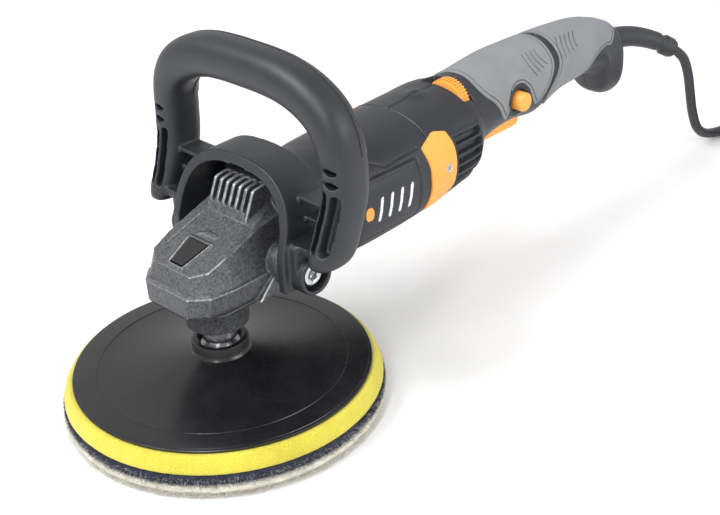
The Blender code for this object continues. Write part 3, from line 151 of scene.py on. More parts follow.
def make_finish(name, tones, rough, grain, height, metallic=0.0, kind="noise", patches=60.0, rub_and_painted_light=None,
                sheen=0.0):
    """tones and rough are pairs, grain is the bump's scale and height its depth in metres. Where the
    attribute for rubbed edges and painted light is 1, the colour is the one given for it."""
    material = bpy.data.materials.new(name)
    material.use_nodes = True
    tree = material.node_tree
    place = add_node(tree, "TexCoord", "Object", {})
    broad = add_node(tree, "TexNoise", "Fac", {"Scale": patches, "Detail": 3.0, "Vector": place})
    if kind == "noise":
        fine = add_node(tree, "TexNoise", "Fac", {"Scale": grain, "Detail": 3.0, "Vector": place})
    else:
        fine = add_node(tree, "TexVoronoi", "Distance", {"Scale": grain, "Vector": place})
    both = add_node(tree, "Math", 0, {0: fine, 1: 0.5, 2: ramp(tree, broad, 0.3, 0.7, 0.0, 0.5)},
                    operation="MULTIPLY_ADD")
    colour = blend_tones(tree, both, *tones)
    if rub_and_painted_light:
        rub_and_light_mask = add_node(tree, "Attribute", "Fac", {}, attribute_name="rub_and_painted_light")
        colour = blend_tones(tree, rub_and_light_mask, colour, rub_and_painted_light)
    bump = add_node(tree, "Bump", "Normal", {"Distance": height, "Strength": 1.0, "Height": fine})
    shader = tree.nodes["Principled BSDF"].inputs
    shader["Metallic"].default_value, shader["Sheen Weight"].default_value = metallic, sheen
    tree.links.new(colour, shader["Base Color"])
    tree.links.new(ramp(tree, both, 0.0, 1.0, *rough), shader["Roughness"])
    tree.links.new(bump, shader["Normal"])
    return material


# %% [markdown]
# Charcoal nylon with a fine grain, a smoother black, hammered paint on the die-cast head, a soft grey
# grip, orange trim and plain metals. The paint's edges are made bright, partly as rubbed paint and partly as
# a painted highlight, and the grip's engraved lines are painted dark as painted shade: both follow one
# attribute, which their meshes carry.

# %% Finishes
charcoal = make_finish("charcoal_nylon", ((0.009, 0.0105, 0.0145), (0.018, 0.0205, 0.0265)), (0.36, 0.5),
                       2600, 0.0001)
satin_black = make_finish("satin_black", ((0.004, 0.004, 0.005), (0.009, 0.009, 0.011)), (0.22, 0.33),
                          1500, 0.00004)
# The last colour brightens the head's outstanding edges: partly rubbed paint, partly a painted highlight.
hammered = make_finish("hammered_paint", ((0.01, 0.011, 0.014), (0.17, 0.175, 0.19)), (0.28, 0.5),
                       1500, 0.0003, metallic=0.55, patches=650, rub_and_painted_light=(0.62, 0.64, 0.68))
# The last colour darkens the grip's engraved grooves: painted shade.
grip_grey = make_finish("grip_grey", ((0.175, 0.183, 0.195), (0.225, 0.235, 0.25)), (0.5, 0.64), 3200,
                        0.00008, rub_and_painted_light=(0.045, 0.048, 0.055))
trim_orange = make_finish("trim_orange", ((0.86, 0.33, 0.045), (0.96, 0.41, 0.075)), (0.32, 0.44), 1800,
                          0.00004)
soft_rubber = make_finish("soft_rubber", ((0.016, 0.017, 0.021), (0.028, 0.03, 0.036)), (0.42, 0.55), 1700,
                          0.00006)
ground_steel = make_finish("ground_steel", ((0.5, 0.51, 0.53), (0.64, 0.65, 0.67)), (0.2, 0.36), 1400,
                           0.00003, metallic=1.0)
bright_zinc = make_finish("bright_zinc", ((0.4, 0.43, 0.45), (0.58, 0.61, 0.63)), (0.18, 0.32), 1200,
                          0.00005, metallic=1.0)
plain_brass = make_finish("plain_brass", ((0.62, 0.42, 0.15), (0.76, 0.54, 0.24)), (0.25, 0.4), 900,
                          0.00003, metallic=1.0)
commutator_copper = make_finish("commutator_copper", ((0.66, 0.3, 0.16), (0.78, 0.4, 0.24)), (0.25, 0.42),
                                900, 0.00003, metallic=1.0)
carbon = make_finish("carbon", ((0.012, 0.012, 0.013), (0.03, 0.03, 0.032)), (0.45, 0.6), 1600, 0.00005)
label_white = make_finish("label_white", ((0.74, 0.75, 0.77), (0.82, 0.83, 0.85)), (0.34, 0.44), 1800,
                          0.00002)
foam_yellow = make_finish("foam_yellow", ((0.5, 0.42, 0.022), (0.8, 0.7, 0.065)), (0.72, 0.9), 1500,
                          0.0006, kind="voronoi", patches=25, sheen=0.2)
wool_cream = make_finish("wool_cream", ((0.62, 0.58, 0.48), (0.86, 0.83, 0.75)), (0.75, 0.95), 900, 0.0003,
                         patches=140, sheen=0.4)
bristle_navy = make_finish("bristle_navy", ((0.006, 0.008, 0.018), (0.03, 0.038, 0.07)), (0.45, 0.65),
                           900, 0.0002, patches=220)
bristle_white = make_finish("bristle_white", ((0.45, 0.47, 0.52), (0.75, 0.76, 0.78)), (0.45, 0.65), 900,
                            0.0002, patches=220)
floor_paint = make_finish("floor_paint", ((0.86, 0.86, 0.86), (0.88, 0.88, 0.88)), (0.5, 0.6), 300, 0.0)

# %% [markdown]
# A large pale square lies just under the pad.

# %% Floor
bm = bmesh.new()
bmesh.ops.create_grid(bm, x_segments=1, y_segments=1, size=6.0)
floor_mesh = bpy.data.meshes.new("floor")
bm.to_mesh(floor_mesh)
bm.free()
floor = bpy.data.objects.new("floor", floor_mesh)
scene.collection.objects.link(floor)
floor.location.z = -0.0002
floor.data.materials.append(floor_paint)

# %% [markdown]
# ## Shared helpers
# A mesh is made from points and faces, turned outwards and shaded smooth except at its creases.
# `place_piece` says which body it rides on and which solids it stands for.


# %% Mesh helpers
def new_piece(name, points, faces, material, crease):
    mesh = bpy.data.meshes.new(name)
    bm = bmesh.new()
    made = [bm.verts.new(p) for p in points]
    for face in faces:
        bm.faces.new([made[i] for i in face])
    turn_outwards(bm)
    bm.to_mesh(mesh)
    bm.free()
    return dress(name, mesh, material, crease)


def turn_outwards(bm):
    bmesh.ops.recalc_face_normals(bm, faces=bm.faces)
    if bm.calc_volume(signed=True) < 0:
        bmesh.ops.reverse_faces(bm, faces=bm.faces)


def dress(name, mesh, material, crease):
    piece = bpy.data.objects.new(name, mesh)
    scene.collection.objects.link(piece)
    mesh.materials.append(material)
    mesh.shade_smooth()
    mesh.set_sharp_from_angle(angle=math.radians(crease))
    return piece


def place_piece(piece, slot, *stands_for, body="housing"):
    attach(piece, body)
    if stands_for:
        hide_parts(*stands_for)
    print(f"{piece.name}: {len(piece.data.polygons)} faces on {body}")
    return piece


def grid_faces(rows, columns, wraps=True):
    """Faces between rows of points. Each row may be a ring."""
    across = range(columns if wraps else columns - 1)
    return [(i + j, i + (j + 1) % columns, i + columns + (j + 1) % columns, i + columns + j)
            for i in range(0, (rows - 1) * columns, columns) for j in across]


def lofted(name, rings, material, crease=40.0):
    """A tube made of rings, with a cap at each end."""
    points, count = [p for ring in rings for p in ring], len(rings[0])
    caps = [tuple(range(count))[::-1], tuple(range(len(points) - count, len(points)))]
    return new_piece(name, points, grid_faces(len(rings), count) + caps, material, crease)


def mm(*rows):
    """Rows of millimetres as rows of metres."""
    return [tuple(round(value / 1000, 7) for value in row) for row in rows]


def spline(points, per_span):
    """A smooth curve through rows of numbers, as an array."""
    rows = [np.array(p, float) for p in points]
    rows = [2 * rows[0] - rows[1]] + rows + [2 * rows[-1] - rows[-2]]
    made = []
    for a, b, c, d in zip(rows, rows[1:], rows[2:], rows[3:]):
        for i in range(per_span):
            t = i / per_span
            made.append(0.5 * (2 * b + (c - a) * t + (2 * a - 5 * b + 4 * c - d) * t ** 2
                               + (3 * b - a - 3 * c + d) * t ** 3))
    made.append(rows[-2])
    return np.array(made)


def rounded(half_a, half_b, square, count):
    """A closed section between a circle (2) and a rectangle."""
    angle = 2 * np.pi * (np.arange(count) + 0.5) / count
    c, s = np.cos(angle), np.sin(angle)
    return np.stack([half_a * np.sign(c) * np.abs(c) ** (2 / square),
                     half_b * np.sign(s) * np.abs(s) ** (2 / square)], 1)


def applied(piece):
    """The piece with its modifiers made part of its mesh."""
    graph = bpy.context.evaluated_depsgraph_get()
    bpy.context.view_layer.update()
    mesh = bpy.data.meshes.new_from_object(piece.evaluated_get(graph))
    old = piece.data
    piece.modifiers.clear()
    piece.data = mesh
    bpy.data.meshes.remove(old)
    return piece


def combine(target, others, operation):
    """Joins or cuts with other pieces, which are used up."""
    for other in others:
        step = target.modifiers.new("combine", "BOOLEAN")
        step.operation, step.solver, step.object = operation, "EXACT", other
        applied(target)
        bpy.data.objects.remove(other)
    return target


def join(target, *others):
    return combine(target, others, "UNION")


def cut(target, *others):
    return combine(target, others, "DIFFERENCE")


def along(axis, u, v, w):
    """A point whose w lies on an axis."""
    return {"X": (w, u, v), "Y": (u, w, v), "Z": (u, v, w)}[axis]


def span(side, near, far):
    """The range from near to far, on the side 1 or -1 of the middle plane."""
    return sorted((side * near, side * far))


def oblong(u_range, v_range):
    (a, b), (c, d) = u_range, v_range
    return [(a, c), (b, c), (b, d), (a, d)]


def prism(name, outline, ends, axis, material=None):
    """A plate with its outline in the plane across an axis. Its two ends may depend on the point."""
    rings = [[along(axis, u, v, end(u, v) if callable(end) else end) for u, v in outline] for end in ends]
    return lofted(name, rings, material or charcoal)


def turned(name, profile, steps, material, axis="Z", centre=(0, 0, 0), crease=40.0):
    """A solid of revolution from (radius, height) points."""
    rings = []
    for radius, height in profile:
        angle = 2 * np.pi * np.arange(steps) / steps
        a, b = max(radius, 1e-5) * np.cos(angle), max(radius, 1e-5) * np.sin(angle)
        rings.append(np.stack(along(axis, a, b, np.full(steps, height)), 1) + np.array(centre))
    return lofted(name, rings, material, crease)


def drum(name, radius, ends, steps, axis="Z", centre=(0, 0, 0), material=None):
    profile = [(0, ends[0]), (radius, ends[0]), (radius, ends[1]), (0, ends[1])]
    return turned(name, profile, steps, material or charcoal, axis, centre)


def soften(piece, voxel, passes):
    """Melts joined shapes into one moulded skin with small fillets."""
    piece.modifiers.new("melt", "REMESH").voxel_size = voxel
    piece.modifiers["melt"].mode = "VOXEL"
    smooth = piece.modifiers.new("smooth", "SMOOTH")
    smooth.factor, smooth.iterations = 0.5, passes
    applied(piece)
    piece.data.shade_smooth()
    piece.data.set_sharp_from_angle(angle=math.radians(60))
    return piece


# %% [markdown]
# ## The mains cord
# A rubber lead 7 mm thick and about 2 m long. It leaves the strain relief, sinks to the floor and runs
# on. Its spare length is wound beside the tool: some four turns inwards on the floor, one short rise, and
# then outwards again on top of them. The plug lies next to the coil.

# %% Cord
CORD_RADIUS = 0.0035
RELIEF = mm((357.5, 0, 103.5), (368, 0, 103.5), (383, -4, 101), (398, -11, 95), (411, -18.5, 86.3))
CORD_WAY = mm((412, -19.1, 85.5), (415.2, -20.8, 82.7), (420, -23, 76.2), (424, -24.5, 64),
              (427, -25.2, 49), (431, -25.5, 33), (439, -25.3, 17.5), (452, -25, 8), (468, -26.2, 4),
              (485, -29.2, 3.7))
COIL_CENTRE = np.array((0.5, -0.086))
COIL_OUT, COIL_IN, COIL_END, FLOOR_LEVEL, LAYER = 0.056, 0.0262, 0.0502, 0.0037, 0.0072
START_ANGLE, JOIN_ANGLE, JOIN_EXTRA = math.radians(104.8), 0.63, 0.0027
TURNS, TURN_BACK, CLIMB_TURNS, WINDING_STEPS = 7.541, 4.18, 0.32, 226
PLUG_X, PLUG_Y, PLUG_Z = 0.44, -0.1362, 0.01


def coil_point(turn):
    """A point on the winding after so many turns, clockwise from above."""
    angle = START_ANGLE - 2 * math.pi * turn
    if turn < TURN_BACK:
        radius = COIL_OUT + (COIL_IN - COIL_OUT) * turn / TURN_BACK
    else:
        radius = COIL_IN + (COIL_END - COIL_IN) * (turn - TURN_BACK) / (TURNS - TURN_BACK)
    ease = max(0.0, 1 - 2 * math.pi * turn / JOIN_ANGLE)
    rise = min(max((turn - TURN_BACK + CLIMB_TURNS) / CLIMB_TURNS, 0.0), 1.0)
    height = FLOOR_LEVEL + LAYER * rise * rise * (3 - 2 * rise)
    radius += JOIN_EXTRA * ease ** 2
    return (COIL_CENTRE[0] + radius * math.cos(angle), COIL_CENTRE[1] + radius * math.sin(angle), height)


winding = [coil_point(TURNS * i / WINDING_STEPS) for i in range(2, WINDING_STEPS + 1)]
tail_way = [(x, PLUG_Y, z) for x, z in mm((488, 10.6), (475, 9.8), (460, 9.4), (450, 9.6), (440.5, 10))]
cord_line = [tuple(p) for p in spline(CORD_WAY, 4)] + winding + tail_way
cord_curve = bpy.data.curves.new("mains_cord", "CURVE")
cord_curve.dimensions = "3D"
cord_curve.bevel_depth = CORD_RADIUS
cord_curve.bevel_resolution = 3
cord_curve.use_fill_caps = True
strand = cord_curve.splines.new("POLY")
strand.points.add(len(cord_line) - 1)
for spot, point in zip(strand.points, cord_line):
    spot.co = (*point, 1.0)
strand.use_smooth = True
mains_cord = bpy.data.objects.new("mains_cord", cord_curve)
scene.collection.objects.link(mains_cord)
cord_curve.materials.append(soft_rubber)

# %% [markdown]
# The strain relief is a tapered sleeve with a collar near its end, and the plug is moulded rubber with
# two round pins. Both are rings along a line.

# %% Strain relief and plug
relief_line = spline(RELIEF, 16)
share = np.linspace(0, 1, len(relief_line))
relief_radii = 0.008 - 0.002 * share + 0.0009 * ((share > 0.86) & (share < 0.97))
relief_radii -= 0.0006 * ((share > 0.8) & (share < 0.845))
relief_rings, angle = [], 2 * np.pi * np.arange(40) / 40
for i, point in enumerate(relief_line):
    heading = Vector(relief_line[min(i + 1, len(relief_line) - 1)] - relief_line[max(i - 1, 0)]).normalized()
    side = heading.cross(Vector((0, 0, 1))).normalized()
    circle = np.outer(np.cos(angle), side) + np.outer(np.sin(angle), side.cross(heading))
    relief_rings.append(point + relief_radii[i] * circle)
relief_sleeve = lofted("relief_sleeve", relief_rings, soft_rubber, 50)
place_piece(relief_sleeve, "black_rubber", "strain_relief")

PLUG_WAY = mm((0, 4.8, 4.8), (8, 5.3, 5.3), (10.5, 7.8, 7.2), (14, 11.8, 9), (20, 14.6, 9.4), (31, 17, 9.6),
              (40, 18, 9.6), (43.5, 17.8, 9.4), (44, 17, 8.8))
plug_rings = []
for reach, half_width, half_height in spline(PLUG_WAY, 4):
    shape = rounded(half_width, half_height, 2.6, 40)
    plug_rings.append([(PLUG_X - reach, PLUG_Y + a, PLUG_Z + b) for a, b in shape])
plug_grip = lofted("plug_grip", plug_rings, soft_rubber, 50)
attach(mains_cord, "housing")
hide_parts("cord", "cord_coil", "cord_tail")
place_piece(plug_grip, "black_rubber", "plug")
for side in (-1, 1):
    profile = mm((0, 377.5), (1.4, 377.5), (2.1, 379), (2.1, 398.5), (0, 398.5))
    pin = turned(f"plug_pin_{side + 1}", profile, 20, ground_steel, "X", (0, PLUG_Y + side * 0.0095, PLUG_Z))
    place_piece(pin, "steel")
tie_place = (COIL_CENTRE[0] + (COIL_OUT + COIL_IN) / 2, COIL_CENTRE[1], 0.0081)


def tie_band(half_long, half_tall, half_wide):
    shape = rounded(half_long, half_tall, 5, 64)
    return lofted("coil_tie", [[(tie_place[0] + a, tie_place[1] + y, tie_place[2] + h) for a, h in shape]
                               for y in (-half_wide, half_wide)], soft_rubber, 35)


coil_tie = cut(tie_band(0.02, 0.008, 0.0035), tie_band(0.0191, 0.0073, 0.006))
place_piece(coil_tie, "black_rubber")


# %% [markdown]
# ## The loop handle
# One big nylon moulding: an arch over the gear case, two cheeks with bosses for the bolts, and a loop on
# two legs. The shapes are joined roughly and the slots in the legs are cut. A voxel remesh and a little
# smoothing then melt them together, because a moulding has a fillet wherever two walls meet.

# %% Loop handle
ARCH_Z, ARCH_HALF, ARCH_RISE, ARCH_WALL, ARCH_POWER = 0.1, 0.04, 0.0373, 0.0056, 2.7
BOLT_X, BOLT_Z, BOSS_RADIUS = 0.0274, 0.0882, 0.0112
BOLT_CENTRE = (BOLT_X, 0, BOLT_Z)
LOOP_FRONT, LOOP_REAR, ARCH_LEAN, BACK_WALL = 0.012, 0.05, 0.333, (0.047, 0.0493)
LOOP = mm((26.5, 65, 99.5, 10, 6), (28, 65.2, 102, 13.5, 8.5), (30.5, 65.5, 108, 14.5, 9.8),
          (34.6, 66, 119, 14.2, 10), (39, 67.2, 134, 13.5, 9.8), (40.2, 67.2, 148, 13, 10.2),
          (40, 66, 160, 12.8, 10.8), (39.6, 62.8, 170, 12.6, 11.6), (39.4, 56, 178.8, 12.4, 12.1),
          (39.4, 44.5, 185.6, 12.3, 12.2), (39.4, 30, 189.7, 12.2, 12.2), (39.4, 15, 191.1, 12.2, 12.2))
loop_rows = [(x, -y, z, d, w) for x, y, z, d, w in LOOP] + [(0.0394, 0.0, 0.1913, 0.0122, 0.0122)]
loop_rows = spline(loop_rows + [(x, y, z, d, w) for x, y, z, d, w in reversed(LOOP)], 5)


def loop_ring(i, grow=0.0, count=44):
    x, y, z, depth, width = loop_rows[i]
    before, after = loop_rows[max(i - 1, 0)], loop_rows[min(i + 1, len(loop_rows) - 1)]
    heading = np.array((after[1] - before[1], after[2] - before[2]))
    heading /= np.linalg.norm(heading)
    shape = rounded(depth + grow, width + grow, 2.3, count)
    return [(x + a, y - heading[1] * b, z + heading[0] * b) for a, b in shape]


def arch_line(half, rise, steps):
    angle = np.linspace(0, np.pi, steps + 1)
    c, s = np.cos(angle), np.maximum(np.sin(angle), 0)
    y = half * np.sign(c) * np.abs(c) ** (2 / ARCH_POWER)
    return list(zip(y, ARCH_Z + rise * s ** (2 / ARCH_POWER)))


FOOT, SLOT_DEPTH, SLOT_STEPS = BOLT_Z - BOSS_RADIUS + 0.003, 0.0075, 18
outer_half = ARCH_HALF + ARCH_WALL
saddle_shape = ([(outer_half, FOOT)] + arch_line(outer_half, ARCH_RISE + ARCH_WALL, 60)
                + [(-outer_half, FOOT), (-ARCH_HALF, FOOT)] + arch_line(ARCH_HALF, ARCH_RISE, 60)[::-1]
                + [(ARCH_HALF, FOOT)])
saddle_ends = (lambda y, z: LOOP_FRONT + max(0.0, z - ARCH_Z) * ARCH_LEAN, LOOP_REAR)
loop_piece = prism("loop_moulding", saddle_shape, saddle_ends, "X")
SLABS = mm((18.5, 45, 104, 108.5, 42.5, 62), (16.5, 44, 88, 107.5, 42.5, 50.5), (31, 46, 116.5, 119, 43, 61),
           (31, 46, 127, 129.5, 40, 61))
extras = [lofted("loop_tube", [loop_ring(i) for i in range(len(loop_rows))], charcoal)]
for side in (-1, 1):
    extras.append(drum("boss", BOSS_RADIUS, span(side, ARCH_HALF + 0.0005, 0.0545), 48, "Y", BOLT_CENTRE))
    for x_0, x_1, z_0, z_1, inner, outer in SLABS:
        extras.append(prism("slab", oblong((x_0, x_1), (z_0, z_1)), span(side, inner, outer), "Y"))
join(loop_piece, *extras)


def leg_slot(side, low, high, shift, half_width):
    """A cutter for a slot in a leg's front face, between two heights, with round ends."""
    rings = []
    for i in range(SLOT_STEPS + 1):
        z = low + (high - low) * (1 - math.cos(math.pi * i / SLOT_STEPS)) / 2
        end_gap = min(z - low, high - z)
        half = half_width * math.sqrt(max(0.06, 1 - max(0.0, 1 - end_gap / half_width) ** 2))
        x, y, depth_here = (np.interp(z, [r[2] for r in LOOP], [r[k] for r in LOOP]) for k in (0, 1, 3))
        y = side * (y + shift)
        face = x - depth_here + SLOT_DEPTH
        rings.append([(-0.01, y - half, z), (face, y - half, z), (face, y + half, z), (-0.01, y + half, z)])
    return lofted("leg_slot", rings, charcoal)


# A wall behind the arch, from the housing's top to its crown.
back = arch_line(ARCH_HALF + 0.001, ARCH_RISE + 0.001, 48) + [(-ARCH_HALF, 0.1005), (ARCH_HALF, 0.1005)]
join(loop_piece, prism("back", back, BACK_WALL, "X"))
for side in (-1, 1):
    for row in mm((108.5, 141, -2.6, 1.9), (108.5, 140, 4, 2.9), (143.7, 147.3, 1.6, 7.8),
                  (150.7, 154.3, 1.6, 7.8)):
        cut(loop_piece, leg_slot(side, *row))
    cut(loop_piece, drum("cup", 0.0088, span(side, 0.0475, 0.06), 40, "Y", BOLT_CENTRE))
soften(loop_piece, 0.0007, 4)
place_piece(loop_piece, "housing_plastic", "loop_handle")

# %% [markdown]
# A thin cover closes the hollow at the back of the loop, and its edge is the fine line there. It is the
# loop's tube, swelled by 0.35 mm and cut to its rear part.

# %% Loop cover
cover = lofted("loop_back_cover", [loop_ring(i, 0.00035, 56) for i in range(len(loop_rows))], charcoal)
keep = prism("keep", mm((44, 158), (90, 156), (90, 250), (44, 250)), (-0.1, 0.1), "Y")
combine(cover, [keep], "INTERSECT")
place_piece(cover, "housing_plastic", "loop_handle_cover")

# %% [markdown]
# The bolts are zinc plated, with a hexagon socket cut by a six-sided prism.

# %% Handle bolts
SOCKET_RADIUS = 0.0033
for side, word in ((-1, "left"), (1, "right")):
    profile = mm((0, 47.8), (6.3, 47.8), (6.6, 48.2), (6.6, 50.8), (6.3, 51.6), (5.5, 52), (0, 52))
    profile = [(r, side * h) for r, h in profile]
    bolt = turned(f"bolt_head_{word}", profile, 48, bright_zinc, "Y", BOLT_CENTRE, 30)
    hexagon = [(BOLT_X + SOCKET_RADIUS * math.cos(math.radians(60 * i + 15)),
                BOLT_Z + SOCKET_RADIUS * math.sin(math.radians(60 * i + 15))) for i in range(6)]
    cut(bolt, prism("socket", hexagon, span(side, 0.0492, 0.06), "Y"))
    place_piece(bolt, "zinc", f"handle_bolt_{word}")


# %% [markdown]
# ## The gear head
# A die casting in hammered paint. Its body is a stack of outlines, each a nose with chamfered corners.
# A slanting cut makes the roof, and a box with cooling slots stands behind it. Thin solids are joined to
# the roof or cut from it: the lock button's frame, a groove along one edge, a facet and a plain arrow.

# %% Gear head shape
HEAD = mm((72, -30.5, 14.5, 25.5), (75, -32.5, 16, 27.5), (85, -31.8, 17.4, 28.7), (86.2, -32.2, 17.6, 29),
          (87.4, -30, 16.8, 27), (97, -26.4, 14.8, 25), (124, -20, 13.5, 20))
SHOULDER, HEAD_REAR, MOTOR_Z = -0.008, 0.04, 0.095
VENT_FRONT, VENT_HALF, VENT_TOP, VENT_COUNT, VENT_PITCH = 0.0125, 0.0158, 0.129, 6, 0.005
ROOF_FOOT, ROOF_SLOPE = 0.097, 0.384
BUTTON_WAY = (-0.0228, -0.0066, 0.0046, 0.0077)
MOTOR_CENTRE = (0, 0, MOTOR_Z)


def roof(x):
    """Height of the sloping roof."""
    return ROOF_FOOT + ROOF_SLOPE * (x + 0.026)


def head_ring(z, nose, nose_half, side_half):
    bend, bend_half = (nose + SHOULDER) / 2 - 0.003, (nose_half + side_half) / 2 + 0.003
    half = [(nose, nose_half), (bend, bend_half), (SHOULDER, side_half), (HEAD_REAR, side_half)]
    return [(x, y, z) for x, y in half] + [(x, -y, z) for x, y in reversed(half)]


def on_roof(name, outline, low, high):
    """A prism between two heights above the roof."""
    return prism(name, outline, (lambda x, y: roof(x) + low, lambda x, y: roof(x) + high), "Z", hammered)


def trapezoid(front, rear, front_half, rear_half, grow=0.0):
    return [(front - grow, front_half + grow), (rear + grow, rear_half + grow),
            (rear + grow, -rear_half - grow), (front - grow, -front_half - grow)]


head = lofted("gear_head", [head_ring(*row) for row in HEAD], hammered)
far = 0.06
cut(head, prism("above", [(-far, roof(-far)), (far, roof(far)), (far, 0.2), (-far, 0.2)], (-0.05, 0.05), "Y"))
chamfer = []
for x, inward, down in mm((-8.5, 0.4, 0.4), (12.5, 6.1, 2.2), (33, 6.1, 6)):
    edge, z = 0.025 - (roof(x) - ROOF_FOOT) * 0.185, roof(x)
    chamfer.append([(x, a, b) for a, b in ((-edge + inward, z + 0.0002), (-edge + inward, z + 0.004),
                                           (-edge - 0.003, z + 0.004), (-edge - 0.003, z - down - 0.001),
                                           (-edge, z - down))])
cut(head, lofted("facet", chamfer, hammered))
collar_profile = mm((0, 34), (35, 34), (35.5, 34.5), (35.5, 47.7), (0, 47.7))
vent_side = [(VENT_FRONT, roof(VENT_FRONT) - 0.002), (VENT_FRONT + 0.0085, VENT_TOP - 0.0008),
             (VENT_FRONT + 0.0105, VENT_TOP), (0.04, VENT_TOP + 0.0018), (0.04, 0.108), (VENT_FRONT, 0.108)]
join(head, turned("rear_collar", collar_profile, 96, hammered, "X", MOTOR_CENTRE),
     prism("vent_box", vent_side, (-VENT_HALF, VENT_HALF), "Y"),
     drum("bolt_bosses", 0.011, (-0.0396, 0.0396), 48, "Y", BOLT_CENTRE, hammered))
wedge = mm((6, 72.5), (26, 72.5), (33, 84.5), (24, 90))
for side in (-1, 1):
    join(head, prism("wedge", wedge, span(side, 0.018, 0.0312), "Y"))
join(head, on_roof("frame", trapezoid(*BUTTON_WAY, 0.0019), -0.002, 0.0008))
edge_groove = mm((-15, 16.5), (11, 14.2), (11, 15.6), (-15, 18.1))
cut(head, on_roof("pocket", trapezoid(*BUTTON_WAY, 0.0005), -0.007, 0.01),
    on_roof("edge_groove", edge_groove, -0.0012, 0.01))
arrow = mm((-2.5, 6.8), (1.2, 1), (1.2, -7.8), (-1.2, -7.8), (-1.2, 1))
join(head, on_roof("arrow", arrow, -0.002, 0.0005))
for i in range(VENT_COUNT):
    y = (i - (VENT_COUNT - 1) / 2) * VENT_PITCH
    cut(head, prism("slot", oblong((0.008, 0.03), (y - 0.0015, y + 0.0015)), (0.1168, 0.14), "Z"))
cut(head, drum("cavity", 0.0215, (0.07, 0.0932), 64, material=hammered))
for radius, ends in ((0.0095, (0.012, 0.033)), (0.0133, (0.0317, 0.06))):
    cut(head, drum("bore", radius, ends, 48, "X", MOTOR_CENTRE, hammered))
soften(head, 0.00055, 2)

# %% [markdown]
# Where an edge stands out, the paint is made bright: partly rubbed thin, partly a painted highlight. How far
# each vertex stands above the average of its neighbours becomes the attribute that the paint reads.


# %% Rubbed edges and painted highlight
def mark_edge_rub_and_highlight(piece, full, reach):
    """Writes edge rub and painted highlight from 0 to 1 for each vertex, from how much it stands out of its
    surroundings.
    """
    mesh = piece.data
    count = len(mesh.vertices)
    points, normals = np.empty((count, 3)), np.empty((count, 3))
    mesh.vertices.foreach_get("co", points.ravel())
    mesh.vertices.foreach_get("normal", normals.ravel())
    edges = np.empty(len(mesh.edges) * 2, int)
    mesh.edges.foreach_get("vertices", edges)
    a, b = edges.reshape(-1, 2).T
    near = np.bincount(a, minlength=count) + np.bincount(b, minlength=count)
    smooth = points.copy()
    for _ in range(reach):
        total = np.zeros_like(smooth)
        np.add.at(total, a, smooth[b])
        np.add.at(total, b, smooth[a])
        smooth = total / np.maximum(near, 1)[:, None]
    stand = np.einsum("ij,ij->i", points - smooth, normals)
    rub_and_painted_light = np.clip((stand - 0.35 * full) / (0.65 * full), 0, 1) ** 1.3
    mesh.attributes.new("rub_and_painted_light", "FLOAT", "POINT").data.foreach_set("value", rub_and_painted_light.astype(np.float32))


# Bright edges on the head: partly rubbed paint, partly a painted highlight on every edge that stands out.
mark_edge_rub_and_highlight(head, 0.00024, 3)
place_piece(head, "gear_paint", "gear_case")

# %% [markdown]
# The bearing flange under the head is turned and then cut flat on both sides. Its profile is a closed
# ring, so the caps go. The button in the roof locks the spindle.

# %% Bearing flange and lock button
flange_profile = mm((27.8, 71.7), (27.8, 70.6), (27.4, 70.2), (21.5, 69), (18.2, 66.2), (17.8, 65.5),
                    (17.8, 54.5), (17.6, 53.6), (16.8, 53), (11.2, 53), (11.2, 56.2), (16.3, 56.2),
                    (16.3, 71.7))
flange = turned("flange_body", flange_profile + flange_profile[:1], 96, hammered, crease=32)
bm = bmesh.new()
bm.from_mesh(flange.data)
bmesh.ops.delete(bm, geom=[f for f in bm.faces if len(f.verts) > 4], context="FACES_ONLY")
bmesh.ops.remove_doubles(bm, verts=bm.verts, dist=1e-6)
turn_outwards(bm)
bm.to_mesh(flange.data)
bm.free()
combine(flange, [prism("sides", oblong((-0.04, 0.04), (-0.0248, 0.0248)), (0.05, 0.08), "Z")], "INTERSECT")
place_piece(flange, "gear_paint", "bearing_flange")
button_ends = (0.0973, lambda x, y: roof(x) + 0.0012)
button = prism("lock_button", trapezoid(-0.0226, -0.0068, 0.0044, 0.0075), button_ends, "Z", satin_black)
pin_profile = mm((0, 88.4), (1.2, 88.4), (1.4, 88.8), (1.4, 98.5), (0, 98.5))
join(button, turned("lock_pin", pin_profile, 24, satin_black, "Z", (-0.0107, 0, 0)))
soften(button, 0.00045, 2)
place_piece(button, "black_plastic", "spindle_lock_button", body="spindle_lock")

# %% [markdown]
# ## The backing plate and the pads
# The plate is one turned profile: a rim with fine steps, a thin raised ring, a concave cone and a hub.

# %% Backing plate
plate_profile = mm((3, 24.2), (84, 24.2), (84.2, 24.6), (84.2, 25.4), (83.8, 25.8), (82.6, 25.9),
                   (82.4, 26.2), (80.8, 26.4), (72, 26.8), (70.9, 26.9), (70.7, 27.2), (70.3, 27.2),
                   (70.1, 26.9))
for step in range(1, 21):
    t = step / 20
    radius = 0.0701 + (0.0172 - 0.0701) * t
    plate_profile.append((radius, 0.0269 + 0.0086 * t ** 1.75))
plate_profile += mm((16.3, 36.8), (16, 37.6), (16, 42), (15.7, 42.7), (15, 43), (13.2, 43), (12.7, 42.7),
                    (12.5, 42), (12.5, 40.2), (12, 40), (11.3, 40), (11.3, 27.5), (3, 27.5))
plate = turned("plate_disc", plate_profile, 160, satin_black, crease=28)
place_piece(plate, "black_plastic", "backing_plate", body="spindle")

# %% [markdown]
# The foam is a disc with a rounded shoulder and the wool is a crowned pad. Small waves in the radius
# keep them from looking turned.


